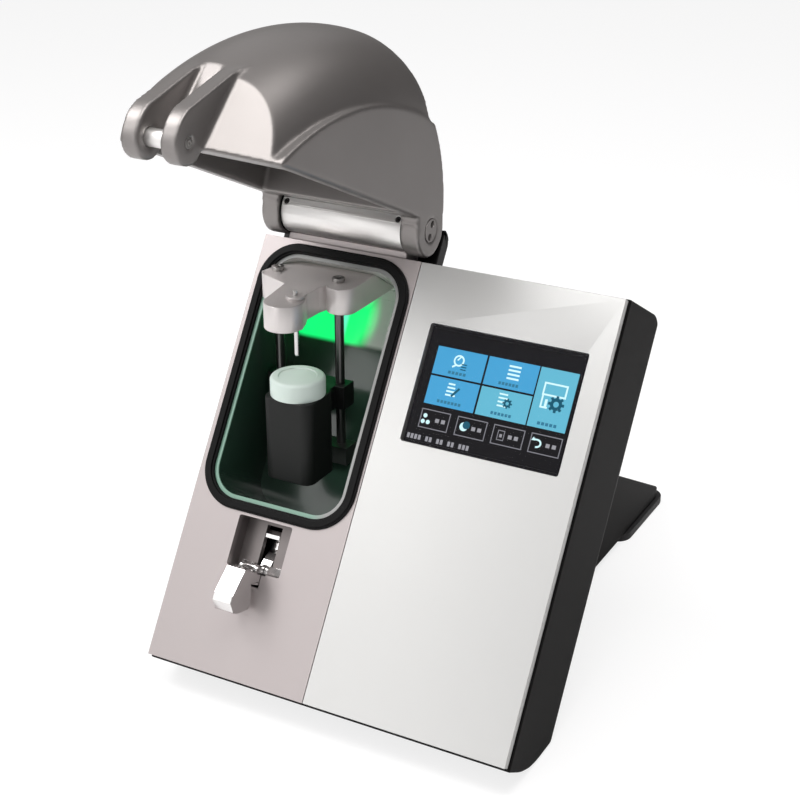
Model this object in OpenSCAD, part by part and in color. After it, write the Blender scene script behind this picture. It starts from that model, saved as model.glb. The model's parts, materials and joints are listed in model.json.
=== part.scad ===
// Watch water resistance tester: a leaning body with a pressure chamber on the left,
// a touch screen on the right, a domed swinging lid with a draw latch, and a long rear foot.
// Millimetres. +Z up, front towards -Y, origin on the table under the middle of the whole tester.

/* [Body] */
// Width of the two front panels together
panel_w = 250; // [240:1:270]
// Height of the front panels, measured up the leaning face
panel_h = 280; // [272:1:300]
// Thickness of the front panels
panel_t = 5; // [4:0.5:7]
// Depth of the body, front face to back
body_d = 73.5; // [72:0.5:84]
// Wall of the housing
wall = 4; // [3:0.5:5]
// Bevel that the housing shows round the panels
edge_bevel = 1.2; // [1:0.1:3]
// Bevel that the housing shows under the panels
low_bevel = 2; // [1:0.5:3]
// Angle by which the face leans back
lean = 33; // [30:1:36]
// Rise of the housing's top towards the back
top_slope = 4; // [0:0.5:6]
// Rounding of the housing's top back edge
top_back_r = 18; // [14:1:20]
// Rounding of the housing's upright back edges
side_back_r = 9; // [3:1:14]
// Rounding between the housing's underside and its flat sole
low_bend_r = 60; // [40:5:80]
// How far the housing's flat sole lies below the bottom front edge
sole_drop = 22.5; // [20:0.5:26]

/* [Chamber] */
// Width of the left panel, which holds the chamber
chamber_panel_w = 114.5; // [112:0.5:122]
// Gap between the left and the right panel
seam_gap = 0.3; // [0.2:0.1:0.6]
// Bare edge of the panel outside the seal
seal_margin = 3.3; // [2.5:0.1:5]
// Bare edge of the panel above the seal
seal_top_margin = 2.2; // [2:0.1:5]
// Height of the seal's lower edge above the bottom of the panel
seal_low = 102.2; // [98:0.5:110]
// Width of the seal
seal_w = 6.7; // [5:0.1:8]
// Outer corner radius of the seal
seal_corner = 27; // [22:1:32]
// How far the seal stands proud of the panel
seal_proud = 2.6; // [2:0.1:3.5]
// Depth of the seal's groove
groove_d = 3; // [2:0.5:3.5]
// Depth of the chamber behind the face
chamber_d = 60; // [54:1:62]
// Wall of the chamber's liner
liner_t = 2.5; // [2:0.5:3.5]
// Wall of the chamber block behind the panel
block_t = 5; // [4:0.5:6]
// Width of the lit window
window_w = 38; // [30:1:44]
// Height of the lit window
window_h = 36; // [30:1:44]
// Height of the lit window's middle up the face
window_v = 244; // [236:1:246]

/* [Hinge] */
// Height of the hinge axis above the top of the panels
hinge_rise = 20.8; // [20:0.2:24]
// Depth of the hinge axis behind the face
hinge_d = 1.8; // [1:0.2:3]
// Height of the hinge block above the hinge axis
block_rise = 6; // [4:0.5:8]
// Thickness of the hinge block behind the lid's ears
saddle_t = 10; // [8:0.5:16]
// Radius of the hinge barrel
barrel_r = 15.4; // [13:0.2:16]
// Radius of the lid's ears
ear_r = 17.5; // [16.5:0.5:18.5]
// Thickness of the lid's ears
ear_t = 12.9; // [10:0.1:14]
// Radius of the hinge shaft
shaft_r = 6; // [4:0.5:7]
// Running clearance of shafts, pins and rods, on the radius
run_gap = 0.05; // [0.03:0.01:0.08]
// Thickness of the washers between the ears and the barrel
washer_t = 0.8; // [0.6:0.1:1.5]

/* [Lid] */
// Angle at which the lid stands open
open_angle = 82.2; // [70:0.2:88]
// Highest point of the dome, above the hinge axis
crown_h = 108.5; // [102:0.5:114]
// Distance of the crown from the hinge axis
crown_u = 31.5; // [28:0.5:38]
// Radius of the dome's long front curve at the crown
front_r = 241; // [225:1:255]
// How much the dome's radius from side to side exceeds half its width
cross_extra = 0.3; // [0.1:0.1:3]
// Radius of the dome's curve behind the crown
rear_r = 87; // [72:1:100]
// Radius of the flat cheeks' long front curve
cheek_front_r = 208; // [190:1:225]
// Radius of the cheeks' rear edge
cheek_back_r = 107.5; // [98:0.5:116]
// Height of the cheeks above the hinge axis
cheek_h = 64; // [60:1:68]
// Thickness of the cheeks and side walls of the lid
cheek_t = 9.5; // [8:0.5:10]
// Wall of the dome
dome_t = 6; // [4:0.5:8]
// Wall of the lid's nose
nose_t = 20; // [17:0.5:23]
// How far the nose reaches past the seal on the middle line
nose_lap = 15; // [12:0.1:18]
// Sideways sweep of each nose facet
nose_sweep = 24.3; // [20:0.1:27]
// Backward tilt of the nose facets
nose_tilt = 20.9; // [16:0.1:24]
// Rounding of the nose's far corner
nose_corner_r = 38; // [27:1:40]
// Radius of the dome's back wall, seen from the side
back_r = 95; // [85:1:105]
// Distance of the dome's back wall from the hinge axis
dome_back = 28; // [25:0.5:32]

/* [Fork] */
// Distance of the fork's pin from the hinge axis
fork_u = 217; // [212:1:222]
// Offset of the fork's pin outwards from the hinge axis
fork_w = 5.8; // [5:0.2:7]
// Radius of the fork's bosses
boss_r = 12.3; // [11:0.1:12.6]
// Radius of the arms' outer shoulder
shoulder_r = 22; // [18:0.5:24]
// Thickness of each fork arm
arm_t = 10.4; // [9:0.1:12]
// Gap between the fork's arms
fork_gap = 14.4; // [14.2:0.1:15]
// Radius of the fork's pin
fork_pin_r = 5; // [4:0.1:5.2]

/* [Latch] */
// Width of the latch recess
recess_w = 39; // [38.6:0.2:44]
// Height of the latch recess
recess_h = 32.5; // [30:0.5:34]
// Depth of the latch recess
recess_d = 13.5; // [12:0.5:16]
// Distance of the recess below the seal
recess_gap = 1.7; // [1.5:0.1:3]
// Width of the handle
lever_w = 13.4; // [12:0.1:14]
// Radius of the latch's pins
latch_pin_r = 2; // [1.5:0.1:2.2]
// Width of the draw hook
hook_w = 7.2; // [6:0.1:8]
// Angle by which the draw hook is swung back
hook_back = 53; // [45:1:56]
// Angle through which the handle lifts
lever_open = 48; // [40:1:48]

/* [Screen] */
// Gap from the screen's opening to the panel's outer edge
screen_border = 13.5; // [12:0.5:24]
// Height of the screen's opening
screen_h = 74.8; // [66:0.2:78]
// Height of the opening's lower edge up the face
screen_v = 169.2; // [160:0.2:180]
// Gap from the seam to the screen's opening
screen_side = 17.2; // [12:0.2:20]
// Thickness of the touch glass
glass_t = 2; // [1.5:0.1:3]
// How far the glass lies behind the panel's face
glass_sunk = 1.2; // [0.8:0.1:1.8]

/* [Probe and watch rest] */
// Thickness of the probe bracket
bracket_t = 17; // [14:0.5:18]
// Height of the bracket's underside above the bottom front edge
bracket_z = 202.5; // [200:0.5:205]
// Distance of the probe behind the bottom front edge
probe_y = 96; // [94:0.5:98]
// Radius of the probe
probe_r = 1.5; // [1:0.1:2]
// Height of the probe's tip above the bottom front edge
probe_tip_z = 181; // [180:0.5:184]
// Travel of the probe
probe_travel = 6; // [4:0.5:8]
// Radius of the guide rods
rod_r = 3; // [2.5:0.1:3.5]
// Distance between the guide rods
rod_pitch = 45; // [42:0.5:47]
// Radius of the soft pad that the watch lies on
pad_r = 17.5; // [15:0.5:19]
// Thickness of the soft pad
pad_t = 12; // [8:0.5:13]
// Height of the block under the pad
rest_h = 56; // [50:1:57]
// Width of the block under the pad
rest_w = 35; // [30:1:36]
// Depth of the block under the pad
rest_d = 32; // [28:1:34]
// Upward travel of the watch rest
rest_up = 10; // [6:1:12]
// Downward travel of the watch rest
rest_down = 16; // [10:1:18]

/* [Foot] */
// Reach of the foot behind the bottom front edge
foot_reach = 402; // [380:1:420]
// Width of the foot
foot_w = 146; // [130:1:150]
// Height up the back at which the foot's top starts
foot_top_v = 186.6; // [180:1:192]
// Height of the foot's tail above the underside of its shell
foot_end_h = 3.2; // [2:0.2:6]
// Wall of the foot
foot_wall = 4; // [3:0.5:5]
// Thickness of the rear rubber sole
rear_sole_t = 6; // [4:0.5:7]
// Length of the rear rubber sole
rear_sole_l = 85; // [70:1:90]
// Thickness of the front rubber feet
front_sole_t = 1.5; // [1:0.1:2.5]
// Length of the front rubber feet, front to back
front_foot_l = 15; // [12:0.5:16]
// Width of the front rubber feet
front_foot_w = 34; // [28:1:40]

/* [Rear] */
// Width of the rear service cover
cover_w = 150; // [120:1:160]
// Height of the rear service cover
cover_h = 52; // [44:1:54]
// Thickness of the rear service cover
cover_t = 2; // [1.5:0.1:2.5]
// Width of the mains inlet
inlet_w = 28; // [26:0.5:30]
// Height of the mains inlet
inlet_h = 20; // [18:0.5:22]
// Width of the rocker switch
rocker_w = 20; // [18:0.5:22]
// Height of the rocker switch
rocker_h = 14; // [12:0.5:16]

/* [Hidden] */
$fn = 96;

// Room that the cuts run past a face
over = 1;
far = 400;

// Where the leaning frame and the upright frame sit on the table
lift = sole_drop + front_sole_t;
hinge_v = panel_h + hinge_rise;
hinge_y = hinge_d * cos(lean) + hinge_v * sin(lean);
lid_turn = lean + open_angle;
fork_front_y = hinge_y - fork_w * cos(lid_turn) - fork_u * sin(lid_turn) - boss_r;
mid_y = (foot_reach + fork_front_y) / 2;

// Chamber outline, from the outside in
seal_x0 = seal_margin;
seal_x1 = chamber_panel_w - seal_margin + 2;
seal_v1 = panel_h - seal_top_margin;
mouth_x0 = seal_x0 + seal_w;
mouth_x1 = seal_x1 - seal_w;
mouth_v0 = seal_low + seal_w;
mouth_v1 = seal_v1 - seal_w;
mouth_r = seal_corner - seal_w;
room_x0 = mouth_x0 + liner_t;
room_x1 = mouth_x1 - liner_t;
room_v0 = mouth_v0 + liner_t;
room_v1 = mouth_v1 - liner_t;
room_r = mouth_r - liner_t;
chamber_x = chamber_panel_w / 2;
window_cut = 1;
screen_x0 = chamber_panel_w + seam_gap + screen_side;
screen_w = panel_w - screen_border - screen_x0;

// Lid measures, u away from the hinge axis and w outwards
rim_gap = 0.3;
rim_w = hinge_d + seal_proud + rim_gap;
nose_u = hinge_v - seal_low + nose_lap;
crown_w0 = crown_h - front_r;
cross_r = chamber_panel_w / 2 + cross_extra;
cheek_u = 46;
cheek_w0 = cheek_h - cheek_front_r;
cheek_back_w = -23;
cheek_back_u = sqrt(pow(cheek_back_r, 2) - pow(cheek_back_w, 2)) - ear_r + 0.5;
barrel_room = ear_r + 1;
rim_back_u = ear_r + 1.7;
cavity_back_u = hinge_v - mouth_v1;
back_u = dome_back + back_r;
back_w = 40;
neck_w = 24;
arm_x0 = chamber_x - fork_gap / 2 - arm_t;
arm_x1 = chamber_x + fork_gap / 2;
nose_slope = tan(nose_tilt) / cos(nose_sweep);

// Latch measures: the hook's pin sits just past the line through the fork's pin and the lever's pin
recess_v1 = seal_low - recess_gap;
recess_v0 = recess_v1 - recess_h;
slot_w = 11.2;
fork_pin_v = hinge_v - fork_u;
fork_pin_n = fork_w - hinge_d;
lever_pin_v = fork_pin_v - 13.3;
lever_pin_n = fork_pin_n - 8.3;
hook_pin_v = lever_pin_v - 6.2;
hook_pin_n = lever_pin_n - 4.5;
lever_eye = 3.4;
hook_eye = 3.6;
hook_gap = 0.35;
lever_arm_t = 2.5;
base_t = 2.6;
side_gap = 0.3;
notch_v = hook_pin_v - hook_eye - 2;
slot_u = fork_u - fork_pin_r - hook_gap - 4 - 3.4;
pin_reach = norm([fork_pin_v - hook_pin_v, fork_pin_n - hook_pin_n]);
pin_lean = atan2(fork_pin_n - hook_pin_n, fork_pin_v - hook_pin_v);

// Bracket, probe and rest
bracket_top = bracket_z + bracket_t;
rod_y = 134;
rod_x1 = chamber_x + 8.25;
rod_x0 = rod_x1 - rod_pitch;
pad_top_z = probe_tip_z - 13;
rest_top_z = pad_top_z - pad_t;
rest_low_z = rest_top_z - rest_h;
carriage_h = 16;
carriage_z = rest_top_z - 22;
sleeve_r = 4.5;
spring_r = 3;
collar_z = bracket_z - 1.2;

// Foot
foot_x0 = (panel_w - foot_w) / 2;
foot_low = rear_sole_t - lift;
foot_top_y = body_d * cos(lean) + foot_top_v * sin(lean);
foot_top_z = foot_top_v * cos(lean) - body_d * sin(lean);
foot_slope = atan((foot_top_z - foot_low - foot_end_h) / (foot_reach - 2 - foot_top_y));

// Rear fittings
cover_v = 229;
inlet_x = panel_w - 28;
inlet_v = 70;
rocker_v = 104;
fit = 0.2;

// Leaning frame: x across from the panels' left edge, y into the body, z up the face
module leaning() {
    translate([-panel_w / 2, -mid_y, lift]) rotate([-lean, 0, 0]) children();
}

// Upright frame: x as above, y back and z up from the bottom front edge
module upright() {
    translate([-panel_w / 2, -mid_y, lift]) children();
}

// Lid frame: x across, y is -w and z is -u, turned to the open angle
module lid_frame() {
    leaning() translate([0, hinge_d, hinge_v]) rotate([-open_angle, 0, 0]) children();
}

// A shape of depth and height, drawn from x0 to x1
module across(x0, x1) {
    translate([x0, 0, 0]) rotate([90, 0, 90]) linear_extrude(x1 - x0) children();
}

// A shape of u and w, drawn from x0 to x1 in the lid frame
module across_lid(x0, x1) {
    across(x0, x1) mirror([1, 1]) children();
}

// A shape of width and height, drawn from depth d0 to d1
module facing(d0, d1) {
    translate([0, d1, 0]) rotate([90, 0, 0]) linear_extrude(d1 - d0) children();
}

// A rod along x
module rod_x(x0, x1, r, d, v) {
    translate([x0, d, v]) rotate([0, 90, 0]) cylinder(r = r, h = x1 - x0);
}

// A rod along the depth
module rod_d(x, v, r, d0, d1) {
    translate([x, d1, v]) rotate([90, 0, 0]) cylinder(r = r, h = d1 - d0);
}

module box(x0, x1, d0, d1, v0, v1) {
    translate([x0, d0, v0]) cube([x1 - x0, d1 - d0, v1 - v0]);
}

module rounded(x0, x1, v0, v1, r) {
    translate([x0 + r, v0]) square([x1 - x0 - 2 * r, v1 - v0]);
    translate([x0, v0 + r]) square([x1 - x0, v1 - v0 - 2 * r]);
    for (x = [x0 + r, x1 - r], v = [v0 + r, v1 - r]) translate([x, v]) circle(r);
}

// Takes the corner at b, between a and c, down to a radius r
module soften(a, b, c, r) {
    p = (a - b) / norm(a - b);
    q = (c - b) / norm(c - b);
    half = acos(p * q) / 2;
    run = r / tan(half);
    middle = (p + q) / norm(p + q);
    difference() {
        polygon([b + p * run, b - middle * over, b + q * run]);
        translate(b + middle * (r / sin(half))) circle(r);
    }
}

// Side view of the housing, depth and height
function sole_v(d) = (d * sin(lean) - sole_drop) / cos(lean);
function top_v(d) = panel_h + edge_bevel + (d - panel_t - edge_bevel) * tan(top_slope);
bend_d = (sole_drop - low_bevel * cos(lean)) / sin(lean);
room_back_r = top_back_r - wall - 2.5;

module housing_side() {
    low_front = [panel_t + low_bevel, -low_bevel];
    low_bend = [bend_d, -low_bevel];
    low_back = [body_d, sole_v(body_d)];
    high_back = [body_d, top_v(body_d)];
    high_front = [panel_t + edge_bevel, panel_h + edge_bevel];
    difference() {
        polygon([[panel_t, 0], low_front, low_bend, low_back, high_back, high_front, [panel_t, panel_h]]);
        soften(low_front, low_bend, low_back, low_bend_r);
        soften(low_bend, low_back, high_back, 9);
        soften(low_back, high_back, high_front, top_back_r);
    }
}

// Plan view of the housing, width and depth
module housing_plan() {
    x0 = -edge_bevel;
    x1 = panel_w + edge_bevel;
    deep = panel_t + edge_bevel;
    difference() {
        polygon([[0, panel_t], [x0, deep], [x0, body_d], [x1, body_d], [x1, deep], [panel_w, panel_t]]);
        soften([x0, deep], [x0, body_d], [x1, body_d], side_back_r);
        soften([x0, body_d], [x1, body_d], [x1, deep], side_back_r);
    }
}

module housing_room() {
    deep = body_d - wall;
    top = panel_h - over;
    difference() {
        polygon([[panel_t - over, wall - low_bevel], [bend_d, wall - low_bevel],
            [deep, sole_v(deep) + wall / cos(lean)], [deep, top], [panel_t - over, top]]);
        soften([deep, 0], [deep, top], [0, top], room_back_r);
    }
}

module foot_holes(r, d0, d1) {
    for (x = [foot_x0 + 20, foot_x0 + foot_w - 20], v = [60, foot_top_v - 24])
        rod_d(x, v, r, d0, d1);
}

module housing() {
    color("#2b2929") leaning() difference() {
        intersection() {
            across(-edge_bevel, panel_w + edge_bevel) housing_side();
            translate([0, 0, -low_bevel - over]) linear_extrude(far) housing_plan();
        }
        across(wall - edge_bevel, panel_w - wall + edge_bevel) housing_room();
        foot_holes(2.6, body_d - wall - over, body_d + over);
        // rebate and window of the service cover
        facing(body_d - cover_t, body_d + over) cover_outline(fit);
        facing(body_d - wall - over, body_d) rounded(panel_w / 2 - cover_w / 2 + 8,
            panel_w / 2 + cover_w / 2 - 8, cover_v - cover_h / 2 + 6, cover_v + cover_h / 2 - 6, 3);
        box(inlet_x - inlet_w / 2, inlet_x + inlet_w / 2, body_d - wall - over, body_d + over,
            inlet_v - inlet_h / 2, inlet_v + inlet_h / 2);
        box(inlet_x - rocker_w / 2, inlet_x + rocker_w / 2, body_d - wall - over, body_d + over,
            rocker_v - rocker_h / 2, rocker_v + rocker_h / 2);
    }
}

module seal_outline() {
    rounded(seal_x0, seal_x1, seal_low, seal_v1, seal_corner);
}

module mouth_outline() {
    rounded(mouth_x0, mouth_x1, mouth_v0, mouth_v1, mouth_r);
}

module room_outline() {
    rounded(room_x0, room_x1, room_v0, room_v1, room_r);
}

// Left front panel with the chamber's block and the latch recess behind it
module chamber_block() {
    block_back = chamber_d + block_t;
    recess_x0 = chamber_x - recess_w / 2;
    recess_x1 = chamber_x + recess_w / 2;
    slot_x0 = chamber_x - slot_w / 2;
    notch_x0 = chamber_x - lever_w / 2 - side_gap;
    ears_x0 = notch_x0 - base_t - side_gap;
    color("#c6bbb9") leaning() difference() {
        union() {
            box(0, chamber_panel_w, 0, panel_t, 0, panel_h);
            facing(panel_t - over, block_back) rounded(mouth_x0 - block_t, mouth_x1 + block_t - 1,
                mouth_v0 - block_t, mouth_v1 + block_t, mouth_r + block_t - 1);
            box(recess_x0 - 4, recess_x1 + 4, panel_t - over, recess_d + 4, notch_v - 4, mouth_v0);
        }
        facing(-over, chamber_d) mouth_outline();
        facing(-over, groove_d) seal_outline();
        facing(-over, recess_d) rounded(recess_x0, recess_x1, recess_v0, recess_v1, 1.5);
        box(notch_x0, notch_x0 + lever_w + 2 * side_gap, -over, recess_d, notch_v, recess_v0 + over);
        box(ears_x0, 2 * chamber_x - ears_x0, -over, recess_d, lever_pin_v - 3.5, recess_v0 + over);
        box(slot_x0, slot_x0 + slot_w, recess_d - over, recess_d + 8, notch_v, recess_v1 - 2);
        // window for the chamber light
        box(chamber_x - window_w / 2, chamber_x + window_w / 2, chamber_d - over, block_back + over,
            window_v - window_h / 2, window_v + window_h / 2);
    }
}

// Right front panel with the screen's opening
module display_panel() {
    color("#e4e4e2") leaning() difference() {
        box(chamber_panel_w + seam_gap, panel_w, 0, panel_t, 0, panel_h);
        facing(-over, panel_t + over)
            rounded(screen_x0, screen_x0 + screen_w, screen_v, screen_v + screen_h, 1.5);
    }
}

module chamber_seal() {
    bead = 1.3;
    color("#1b1b1c") leaning() {
        difference() {
            facing(bead - seal_proud, groove_d) seal_outline();
            facing(-far, far) mouth_outline();
        }
        difference() {
            facing(-seal_proud, bead - seal_proud) rounded(seal_x0 + bead, seal_x1 - bead,
                seal_low + bead, seal_v1 - bead, seal_corner - bead);
            facing(-far, far) rounded(mouth_x0 - bead, mouth_x1 + bead, mouth_v0 - bead,
                mouth_v1 + bead, mouth_r + bead);
        }
    }
}

module chamber_liner() {
    color("#1e3b2c") leaning() difference() {
        facing(0.5, chamber_d) mouth_outline();
        facing(-over, chamber_d - liner_t) room_outline();
        box(chamber_x - window_w / 2, chamber_x + window_w / 2, 0, chamber_d + over,
            window_v - window_h / 2, window_v + window_h / 2);
    }
}

module light_window() {
    color("#19e66b") leaning() box(chamber_x - window_w / 2, chamber_x + window_w / 2,
        chamber_d - liner_t, chamber_d + window_cut, window_v - window_h / 2, window_v + window_h / 2);
}

module light_board() {
    lamp = 3;
    d0 = chamber_d + window_cut;
    color("#2f6b45") leaning() {
        box(chamber_x - window_w / 2 + 1, chamber_x + window_w / 2 - 1, d0 + 1.5, d0 + 3.1,
            window_v - window_h / 2 + 1, window_v + window_h / 2 - 1);
        for (x = [-12, 0, 12], v = [-10, 10])
            box(chamber_x + x - lamp / 2, chamber_x + x + lamp / 2, d0, d0 + 1.5,
                window_v + v - lamp / 2, window_v + v + lamp / 2);
    }
}

// Saddle that carries the barrel behind the lid's ears
module hinge_block() {
    front = ear_r + hinge_d + 1.9;
    back = front + saddle_t;
    high = hinge_v + block_rise;
    color("#353334") leaning() difference() {
        union() {
            across(0.5, chamber_panel_w) difference() {
                polygon([[front, top_v(front)], [back, top_v(back)], [back, high], [front, high]]);
                soften([back, top_v(back)], [back, high], [front, high], saddle_t - 1);
            }
            across(ear_t + washer_t, chamber_panel_w - ear_t - washer_t)
                polygon([[panel_t + edge_bevel, top_v(panel_t + edge_bevel)], [front, top_v(front)],
                    [front, high], [hinge_d, hinge_v]]);
        }
        rod_x(-over, panel_w, barrel_r, hinge_d, hinge_v);
    }
}

barrel_x0 = ear_t + washer_t;
barrel_x1 = chamber_panel_w - ear_t - washer_t;
barrel_screw_turn = 89;

module at_barrel_screws() {
    for (x = [barrel_x0 + 3, barrel_x1 - 3])
        translate([x, hinge_d, hinge_v]) rotate([barrel_screw_turn, 0, 0]) children();
}

module hinge_barrel() {
    color("#d9d7d4") leaning() difference() {
        rod_x(barrel_x0, barrel_x1, barrel_r, hinge_d, hinge_v);
        rod_x(0, panel_w, shaft_r + run_gap, hinge_d, hinge_v);
        at_barrel_screws() translate([0, 0, barrel_r - 4]) cylinder(r = 2, h = 8);
    }
}

module barrel_screws() {
    color("#6f6d6b") leaning() at_barrel_screws() translate([0, 0, barrel_r - 4])
        difference() {
            cylinder(r = 1.95, h = 3.2);
            translate([0, 0, 1.6]) cylinder(r = 1.1, h = 3, $fn = 6);
        }
}

module hinge_washers() {
    color("#1d1c1d") leaning() for (x = [ear_t, barrel_x1]) difference() {
        rod_x(x, x + washer_t, barrel_r + 0.4, hinge_d, hinge_v);
        rod_x(0, panel_w, shaft_r + run_gap, hinge_d, hinge_v);
    }
}

plug_t = 2.4;
plug_r = shaft_r + 1.4;

module hinge_shaft() {
    color("#a9a7a5") leaning()
        rod_x(plug_t, chamber_panel_w - plug_t, shaft_r, hinge_d, hinge_v);
}

// Threaded plugs that close the shaft's bore in each ear, with two holes for a pin spanner
module shaft_plugs() {
    color("#8b8785") lid_frame() for (x = [0, chamber_panel_w - plug_t]) difference() {
        rod_x(x, x + plug_t, plug_r, 0, 0);
        for (side = [-1, 1]) rod_x(x - over, x + plug_t + over, 2.3, side * 4.1, 0);
    }
}

// Dome between the cheeks: an arched section swept round two axes that meet at the crown
module arch(reach, r, half_w) {
    intersection() {
        union() {
            translate([0, -half_w]) square([reach, 2 * half_w]);
            translate([reach, 0]) circle(r);
        }
        translate([0, -half_w]) square([far, 2 * half_w]);
    }
}

module swept(u, w, start, reach, r, half_w) {
    translate([chamber_x, -w, -u]) rotate([0, 90, 0]) rotate([0, 0, start])
        rotate_extrude(angle = 90, $fn = 180) arch(reach, r, half_w);
}

// Each nose facet cuts the dome's front, swept to its side and tilted back
module beyond_nose(inset) {
    for (side = [-1, 1])
        translate([chamber_x, -rim_w, inset / cos(nose_sweep) - nose_u])
            rotate([nose_tilt, 180 - side * nose_sweep, 0])
            translate([-far / 2, -far / 2, 0]) cube([far, far, far]);
}

module dome(shrink, half_w, nose) {
    difference() {
        intersection() {
            union() {
                swept(crown_u, crown_w0, -90, front_r - cross_r, cross_r - shrink, half_w);
                swept(crown_u, crown_h - rear_r, 180, rear_r - cross_r, cross_r - shrink, half_w);
            }
            translate([chamber_x - half_w, -far, -far]) cube([2 * half_w, far - rim_w + shrink, 2 * far]);
            across_lid(0, chamber_panel_w) translate([back_u, back_w]) {
                circle(back_r - shrink, $fn = 180);
                translate([shrink - back_r, -far]) square([far, far]);
                translate([0, -far / 2]) square([far, far]);
            }
        }
        beyond_nose(nose);
    }
}

// Side view of a cheek, down to the ear round the hinge axis
module cheek_side() {
    intersection() {
        translate([cheek_u, cheek_w0]) circle(cheek_front_r, $fn = 180);
        union() {
            translate([cheek_back_u, cheek_back_w]) circle(cheek_back_r, $fn = 180);
            translate([cheek_back_u, -far / 2]) square([far, far]);
        }
        union() {
            translate([rim_back_u, rim_w]) square([far, far]);
            translate([-far, 0]) square([far + rim_back_u, far]);
        }
    }
}

module ear_side() {
    circle(ear_r);
    intersection() {
        cheek_side();
        translate([-far, 0]) square([far + rim_back_u, neck_w]);
    }
}

// Side view of the shoulder that joins the dome's back wall to the rim behind the seal
module neck_side() {
    polygon([[rim_back_u, rim_w], [rim_back_u, neck_w], [dome_back + 1, neck_w + 20],
        [dome_back + 12, neck_w + 20], [dome_back + 12, rim_w]]);
}

module arm_side() {
    circle_u = fork_u - 10;
    difference() {
        translate([circle_u, fork_w + 1.7]) circle(shoulder_r);
        translate([circle_u - far / 2, fork_w - far]) square([far, far]);
    }
    translate([fork_u, fork_w]) circle(boss_r);
    polygon([[fork_u - 40, rim_w], [fork_u - 40, fork_w + 51], [fork_u - 27, fork_w + 43.6],
        [fork_u + 3.9, fork_w + 18.6], [fork_u, fork_w]]);
}

module lid_shell() {
    half = chamber_panel_w / 2;
    color("#8b8785") lid_frame() difference() {
        union() {
            dome(0, half, 0);
            difference() {
                for (x = [0, chamber_panel_w - cheek_t]) across_lid(x, x + cheek_t) cheek_side();
                beyond_nose(0);
            }
            for (x = [0, chamber_panel_w - ear_t]) across_lid(x, x + ear_t) ear_side();
            across_lid(cheek_t - over, chamber_panel_w - cheek_t + over) neck_side();
            for (x = [arm_x0, arm_x1]) across_lid(x, x + arm_t) arm_side();
        }
        difference() {
            dome(dome_t, half - cheek_t, nose_t);
            across_lid(0, chamber_panel_w) translate([-far, -far]) square([far + cavity_back_u, far + 28]);
        }
        facing(-far, far) soften([0, far - nose_u], [0, (chamber_x * tan(nose_sweep)) - nose_u],
            [chamber_x, -nose_u], nose_corner_r);
        across_lid(chamber_x - fork_gap / 2, chamber_x + fork_gap / 2) polygon([[slot_u + 20 * nose_slope,
            rim_w - 20], [slot_u - 60 * nose_slope, rim_w + 60], [far, rim_w + 60], [far, rim_w - 20]]);
        rod_x(ear_t, chamber_panel_w - ear_t, barrel_room, 0, 0);
        across_lid(ear_t, chamber_panel_w - ear_t) translate([-barrel_room, -far])
            square([2 * barrel_room, far]);
        rod_x(-over, panel_w, shaft_r + 0.02, 0, 0);
        for (x = [-over, chamber_panel_w - plug_t]) rod_x(x, x + plug_t + over, plug_r + 0.02, 0, 0);
        rod_x(arm_x0 + 3, arm_x1 + arm_t - 3, fork_pin_r + 0.02, -fork_w, -fork_u);
        rod_x(0, chamber_panel_w, 3.02, -fork_w, -fork_u);
    }
}

module fork_pin() {
    color("#dcdad8") lid_frame()
        rod_x(arm_x0 + 3, arm_x1 + arm_t - 3, fork_pin_r, -fork_w, -fork_u);
}

module fork_screws() {
    color("#8d8b89") lid_frame() for (x = [arm_x0 + 0.4, arm_x1 + arm_t - 3])
        difference() {
            rod_x(x, x + 2.6, 3, -fork_w, -fork_u);
            translate([x < chamber_x ? x - over : x + 1.6, -fork_w, -fork_u]) rotate([0, 90, 0])
                cylinder(r = 1.5, h = 2 * over, $fn = 6);
        }
}

// Latch pieces: outlines give height first as depth is drawn outwards from the face
module latch_across(x0, x1) {
    across(x0, x1) mirror([1, 0]) children();
}

lever_x0 = chamber_x - lever_w / 2;
lever_x1 = chamber_x + lever_w / 2;

// Two ears on the recess floor, one each side of the handle
module latch_base() {
    floor_n = -recess_d;
    low = recess_v0 + 0.2;
    high = lever_pin_v + 3;
    foot_t = 2;
    color("#b9b5b3") leaning() difference() {
        for (side = [-1, 1]) translate([chamber_x, 0, 0]) mirror([side < 0 ? 1 : 0, 0, 0])
            translate([lever_w / 2 + side_gap, 0, 0]) {
                latch_across(0, base_t) {
                    polygon([[floor_n, low], [floor_n, high], [lever_pin_n, high],
                        [lever_pin_n + 2.6, lever_pin_v - 1.5], [lever_pin_n + 2.6, low]]);
                    translate([lever_pin_n, lever_pin_v]) circle(3);
                }
                box(base_t - over, base_t + 6, recess_d - foot_t, recess_d, low, high);
            }
        rod_x(0, panel_w, latch_pin_r, -lever_pin_n, lever_pin_v);
    }
}

module lever_pin() {
    color("#e2e0de") leaning() rod_x(lever_x0 - side_gap - base_t, lever_x1 + side_gap + base_t,
        latch_pin_r, -lever_pin_n, lever_pin_v);
}

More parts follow.
